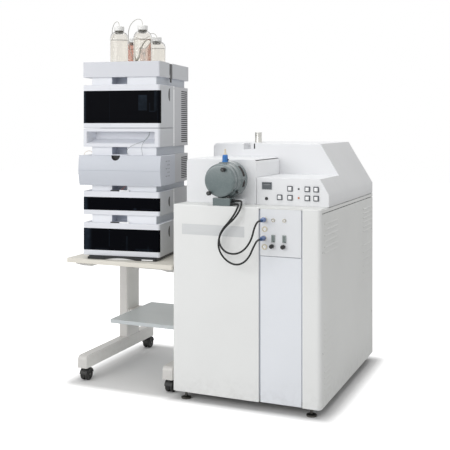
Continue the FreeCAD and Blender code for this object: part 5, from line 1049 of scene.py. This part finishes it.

# Dark discs of painted shade in the oven's side holes: rows by their depth and count, and small screws in the strips
ovenFacts = {"sides": ((-8.0, 1), (386.0, -1)), "rows": ((70.0, 3, 2.9), (95.0, 5, 2.32), (112.0, 5, 2.32)),
             "z": (384.0, 453.0), "proud": 0.15}
stackPiece("oven_hole_plugs",
           [lathed([(0.01, 0.1), (size * 0.7, 0.08), (size, 0.0), (size, 1.6), (0.01, 1.8)],
                   (side - way * ovenFacts["proud"], y, z), (way, 0, 0), 14)
            for side, way in ovenFacts["sides"] for y, count, size in ovenFacts["rows"]
            for z in np.linspace(*ovenFacts["z"], count)], "slotDark", "knob_black")
stripScrews = {"heights": (30.0, 154.0, 215.0, 305.0, 352.0, 530.0, 795.0), "y": 206.0, "radius": 1.9}
stackPiece("strip_screws",
           [lathed([(0.01, 0.25), (0.9, 0.2), (1.0, 0.7), (1.3, 0.75), (stripScrews["radius"], 0.3),
                    (stripScrews["radius"], -0.4)], (x, stripScrews["y"], z), (way, 0, 0), 12)
            for x, way in ((0.0, -1.0), (stackSpot["width"], 1.0)) for z in stripScrews["heights"]],
           "slotDark", "fitting_metal")

# Black lip of the stack's base, with its bare white plate
lipFacts = {"x": (30.0, 366.0), "front": -13.0, "back": 1.9, "top": 13.5, "arch": (112.0, 268.0), "rise": 8.0,
            "plate": (296.0, 350.0, 2.5, 8.0), "round": 8.0}


def lipSkin():
    # Along x, the underside follows half a sine wave over the arch and the top falls a little at the
    # ends; each section is a flat bar with rounded front edges.
    (x0, x1), (a, c), long = lipFacts["x"], lipFacts["arch"], lipFacts["round"]
    x = np.concatenate([[x0, x0 + 1.5], np.linspace(x0 + 6, x1 - long, 70),
                        x1 - long * (1 - np.sin(np.linspace(0.2, 1.57, 7)))])
    arch = lipFacts["rise"] * np.clip(np.sin(math.pi * np.clip((x - a) / (c - a), 0, 1)), 0, 1)
    low = 0.6 + arch
    high = lipFacts["top"] - 2.5 * (x < 110) + 1.2 * np.clip(arch / 8, 0, 1)
    end = np.sqrt(np.clip(1 - (np.clip(x - (x1 - long), 0, long) / long) ** 2, 0, 1))
    deep = lipFacts["front"] * (0.25 + 0.75 * end) - lipFacts["back"]
    ring = [np.column_stack([x, lipFacts["back"] + deep * share, low + (high - low) * level])
            for share, level in ((0.0, 0.0), (0.86, 0.0), (1.0, 0.14), (1.0, 0.86), (0.86, 1.0), (0.0, 1.0))]
    caps = [list(range(6)), list(range(6 * len(x) - 6, 6 * len(x)))]
    return np.array(ring).transpose(1, 0, 2), gridFaces(len(x), 6).tolist() + caps


stackPiece("base_lip", lipSkin(), "blackPlastic", "knob_black")
a, c = lipFacts["arch"]
# A pale plate across the arch, painted light where the arch's dark hollow would show.
stackPiece("base_tray", slabSkin((a + 3, -8.0, 0.4), (c - 3, 1.5, 9.0), 0.6, 0.4, 4), "light", "module_white")
x0, x1, z0, z1 = lipFacts["plate"]
plate = slabSkin((x0, lipFacts["front"] - 0.35, z0), (x1, lipFacts["front"] + 0.6, z1), 0.6, 0.2, 4)
stackPiece("base_plate", plate, "cap", "button_white")


def flatPlate(x0, x1, y0, y1, z0, z1, radius):
    # A rounded plate that lies flat: the slab's own depth and height change places.
    points, faces = slabSkin((x0, -z1, y0), (x1, -z0, y1), radius, 0.4, 4)
    return np.stack([points[..., 0], points[..., 2], -points[..., 1]], -1), faces


# Dark plates of painted shade for the slots, and white pull tabs, on the tops of the pump's and the degasser's covers
tabFacts = {"slot": (136.0, 180.0, 3.4, 11.5), "tab": (180.5, 228.0, 3.2, 12.5), "proud": 5.0}
for node, top in {"pump_cover": 168.0, "degasser_cover": levels["degasser"][1]}.items():
    high = top + tabFacts["proud"]
    slot = flatPlate(*tabFacts["slot"], top - 0.6, high, 1.0)
    tab = flatPlate(*tabFacts["tab"], top - 0.6, high + 0.8, 2.0)
    stackPiece(node + "_slot", slot, "slotDark", "knob_black", bodyOf(node))
    stackPiece(node + "_tab", tab, "cap", "button_white", bodyOf(node))


def flapHold(x, y, z):
    # The walls and floor of the half-moon hold at the top of the oven's flap.
    return (abs(x - 170.1) < 21.5) & (y > -24.0) & (y < -5.0) & (z > 456.0) & (z < 480.8)


dressed("oven_flap", {"skin": ("oven", "module_white", 0.6)}, {"skin": [("slotDark", flapHold)]}, local=stackLocal)


def trayKind(low, high):
    if high[0] - low[0] < 20 * mm:
        return "straps"
    return "neck" if stackLocal(high)[2] < levels["tray"][0] + 1.5 else "tray"


# The tray's outer sides take the modules' darker side skin, as painted shade.
def traySides(x, y, z):
    return (np.abs(x - halfWidth) > halfWidth - 0.5) & (y > 6.5)


dressed("solvent_tray", {"tray": ("tray", "tray_grey", 0.6), "neck": ("neck", "tray_grey", 0.5),
                         "straps": ("blackPlastic", "cable_black", 0.5)},
        {"tray": [("moduleSide", traySides)], "neck": neckOver}, trayKind, stackLocal)

# Wide black straps over the narrow ones, with a tail below the tray
strapFacts = {"bands": (((147.0, 181.0), (838.0, 911.0)), ((156.0, 172.0), (822.0, 842.0))), "thick": 3.6}
bands = []
for x, way in ((-0.3, 1), (stackSpot["width"] + 0.3, -1)):
    for (y0, y1), (z0, z1) in strapFacts["bands"]:
        points, faces = slabSkin((y0, 0.0, z0), (y1, strapFacts["thick"], z1), 5.0, 0.8, 5)
        bands.append((np.stack([x + way * points[..., 1], points[..., 0], points[..., 2]], -1), faces))
stackPiece("tray_straps", bands, "blackPlastic", "cable_black")


# Bottles, their solvent and caps

print("bottles")


def glassSkin(height):
    # Outer and inner walls of a bottle as one closed profile: foot, straight side, a quarter ellipse
    # for the shoulder and the mouth, then back down inside.
    r, wall, neck = bottleFacts["radius"], bottleFacts["wall"], bottleFacts["neck"]
    shoulder, rise = height * bottleFacts["shoulder"], height * bottleFacts["rise"]
    bend = r - neck
    t = np.linspace(0, math.pi / 2, 14)
    outside = np.column_stack([neck + bend * np.cos(t), shoulder + rise * np.sin(t)])
    inside = np.column_stack([neck - wall + bend * np.cos(t), shoulder - wall + (rise - wall) * np.sin(t)])[::-1]
    foot = filleted([(0.01, 2.5), (r - 12, 2.5), (r - 7, 0.2), (r - 3, 0.2), (r, 4), (r, shoulder - 20)],
                    [0, 3, 2, 2, 3, 0], 4)
    mouth = [(neck, height - 0.8), (neck - 0.8, height), (neck - wall, height - 0.3)]
    floor = [(r - wall, shoulder - wall - 6), (r - wall, 10), (r - wall - 6, 4.6), (0.01, 5.0)]
    return np.concatenate([foot, outside, mouth, inside, floor])


def solventSkin(height):
    # What fills a bottle, with the skin's rim drawn up a little where it meets the glass.
    r, level = bottleFacts["radius"] - bottleFacts["wall"] - 0.3, height * bottleFacts["fill"]
    return filleted([(0.01, 5.4), (r - 6, 5.2), (r, 11), (r, level), (r - 2.5, level - 1.1), (0.01, level - 1.4)],
                    [0, 3, 3, 0.3, 1.5, 0], 4)


def capSkin(height):
    # Screw cap: straight ribbed side under a rounded top with a raised ring, open for the tube.
    r, low, top = bottleFacts["cap"], height + 3 - bottleFacts["capHeight"], height + 3
    inner = bottleFacts["neck"] + 0.4
    return filleted([(inner, top - 5), (inner, low), (r, low), (r, top - 2.5), (r - 2.5, top), (r - 8, top),
                     (r - 8.6, top - 0.6), (6.5, top - 0.6), (6.0, top + 1.6), (2.6, top + 1.6), (2.6, top - 4)],
                    [0, 0.6, 0.6, 1.0, 1.0, 0.6, 0.6, 0.6, 0.8, 0.6, 0])


neck = bottleFacts["neck"]
collar = filleted([(neck + 0.2, 0), (neck + 2.4, 0.4), (neck + 2.4, 5.0), (neck + 0.2, 6.0)], [0, 0.8, 0.8, 0])
for k, ((x, y), height, kind) in enumerate(zip(*[bottleFacts[fact] for fact in ("places", "heights", "glass")])):
    spot, upward = (x, y, trayFloor), (0, 0, 1)
    ribs = (height + 3 - bottleFacts["capHeight"] + 0.8, height + 0.5)
    for name, skin, finish, slot, replaced in (
            ("bottle", lathed(glassSkin(height), spot, upward, 72), kind, "glass_clear", ["bottles"]),
            ("solvent", lathed(solventSkin(height), spot, upward, 64), "solvent", "glass_clear", ["bottles"]),
            ("collar", lathed(collar, (x, y, trayFloor + height - 27), upward, 48), "collar", "cap_white", ()),
            ("cap", lathed(capSkin(height), spot, upward, 240, 40, 0.9, ribs), "white", "cap_white", ["bottle_caps"])):
        stackPiece(f"{name}_{k + 1}", skin, finish, slot, "root", replaced)


# Stage and light

print("stage")
floorMesh = bpy.data.meshes.new("floor")
reach = 14.0
floorMesh.from_pydata([(-reach, -reach, 0), (reach, -reach, 0), (reach, reach, 0), (-reach, reach, 0)], [],
                      [(0, 1, 2, 3)])
floor = bpy.data.objects.new("floor", floorMesh)
bpy.context.scene.collection.objects.link(floor)
floorFacts = {"colour": (0.86, 0.86, 0.86, 1.0), "glow": 0.70, "spread": 0.1}


def wayFrom(place, node):
    # The way from a node's outline on the floor: the length of whatever part of the way from its middle
    # goes past half its size.
    low, high = (Vector(corner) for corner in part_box(node))
    middle, half = (low + high) / 2, (high - low) / 2
    way = place.vectorMaths("SUBTRACT", (middle.x, middle.y, 0.0)).vectorMaths("ABSOLUTE")
    way = way.vectorMaths("SUBTRACT", (half.x, half.y, 0.0)).vectorMaths("MAXIMUM", (0.0, 0.0, 0.0))
    return way.vectorMaths("LENGTH", output="Value")


# Seen by the camera the floor glows with painted light, which fades out towards the outlines of the cabinet and the
# table, so that it is white with dark shadows only near them.
floorLook, floorShader, place = newMaterial("floorPale", {"Base Color": floorFacts["colour"], "Roughness": 0.9,
                                                          "Specular IOR Level": 0.1, "Emission Strength": 1.0})
away = wayFrom(place, "side_panels").maths("MINIMUM", wayFrom(place, "table_frame"))
glow = away.ramped(0.0, floorFacts["spread"]) * floorFacts["glow"] * place.node("LightPath", output="Is Camera Ray")
feed(floorShader, {"Emission Color": glow.mixed((0.0, 0.0, 0.0, 1.0), (1.0, 1.0, 1.0, 1.0))})
floorMesh.materials.append(floorLook)

# The world is white to the camera, to mirrors and through glass, and dimmer as a light.
world = bpy.data.worlds.new("studio")
world.use_nodes = True
bpy.context.scene.world = world
seen = Wire(world.node_tree).node("LightPath", output="Is Camera Ray")
pale = seen.maths("MAXIMUM", seen.sibling("Is Glossy Ray")).maths("MAXIMUM", seen.sibling("Is Transmission Ray"))
background = world.node_tree.nodes["Background"]
background.inputs["Color"].default_value = (1.0, 1.0, 1.0, 1.0)
feed(background, {"Strength": pale * 0.48 + 0.52})

# Each lamp's place, aim, size in metres and power in watts
lamps = {"keyLamp": ((-2.0, -4.8, 2.6), (0.0, 0.3, 0.8), (3.0, 3.0), 90.0),
         "leftStrip": ((-2.9, -2.3, 2.2), (0.18, 0.0, 0.97), (0.22, 1.6), 9.0),
         "frontStrip": ((1.0, -3.9, 2.4), (0.18, 0.0, 0.97), (0.22, 1.2), 7.0),
         "topLamp": ((0.2, 0.2, 4.4), (0.1, 0.4, 0.0), (3.4, 3.4), 60.0)}
for name, (spot, aim, size, power) in lamps.items():
    light = bpy.data.lights.new(name, "AREA")
    light.shape = "RECTANGLE"
    light.size, light.size_y = size
    light.energy = power
    piece = bpy.data.objects.new(name, light)
    bpy.context.scene.collection.objects.link(piece)
    piece.location = spot
    piece.rotation_euler = (Vector(aim) - Vector(spot)).to_track_quat("-Z", "Y").to_euler()
bpy.context.scene.view_settings.view_transform = "Standard"
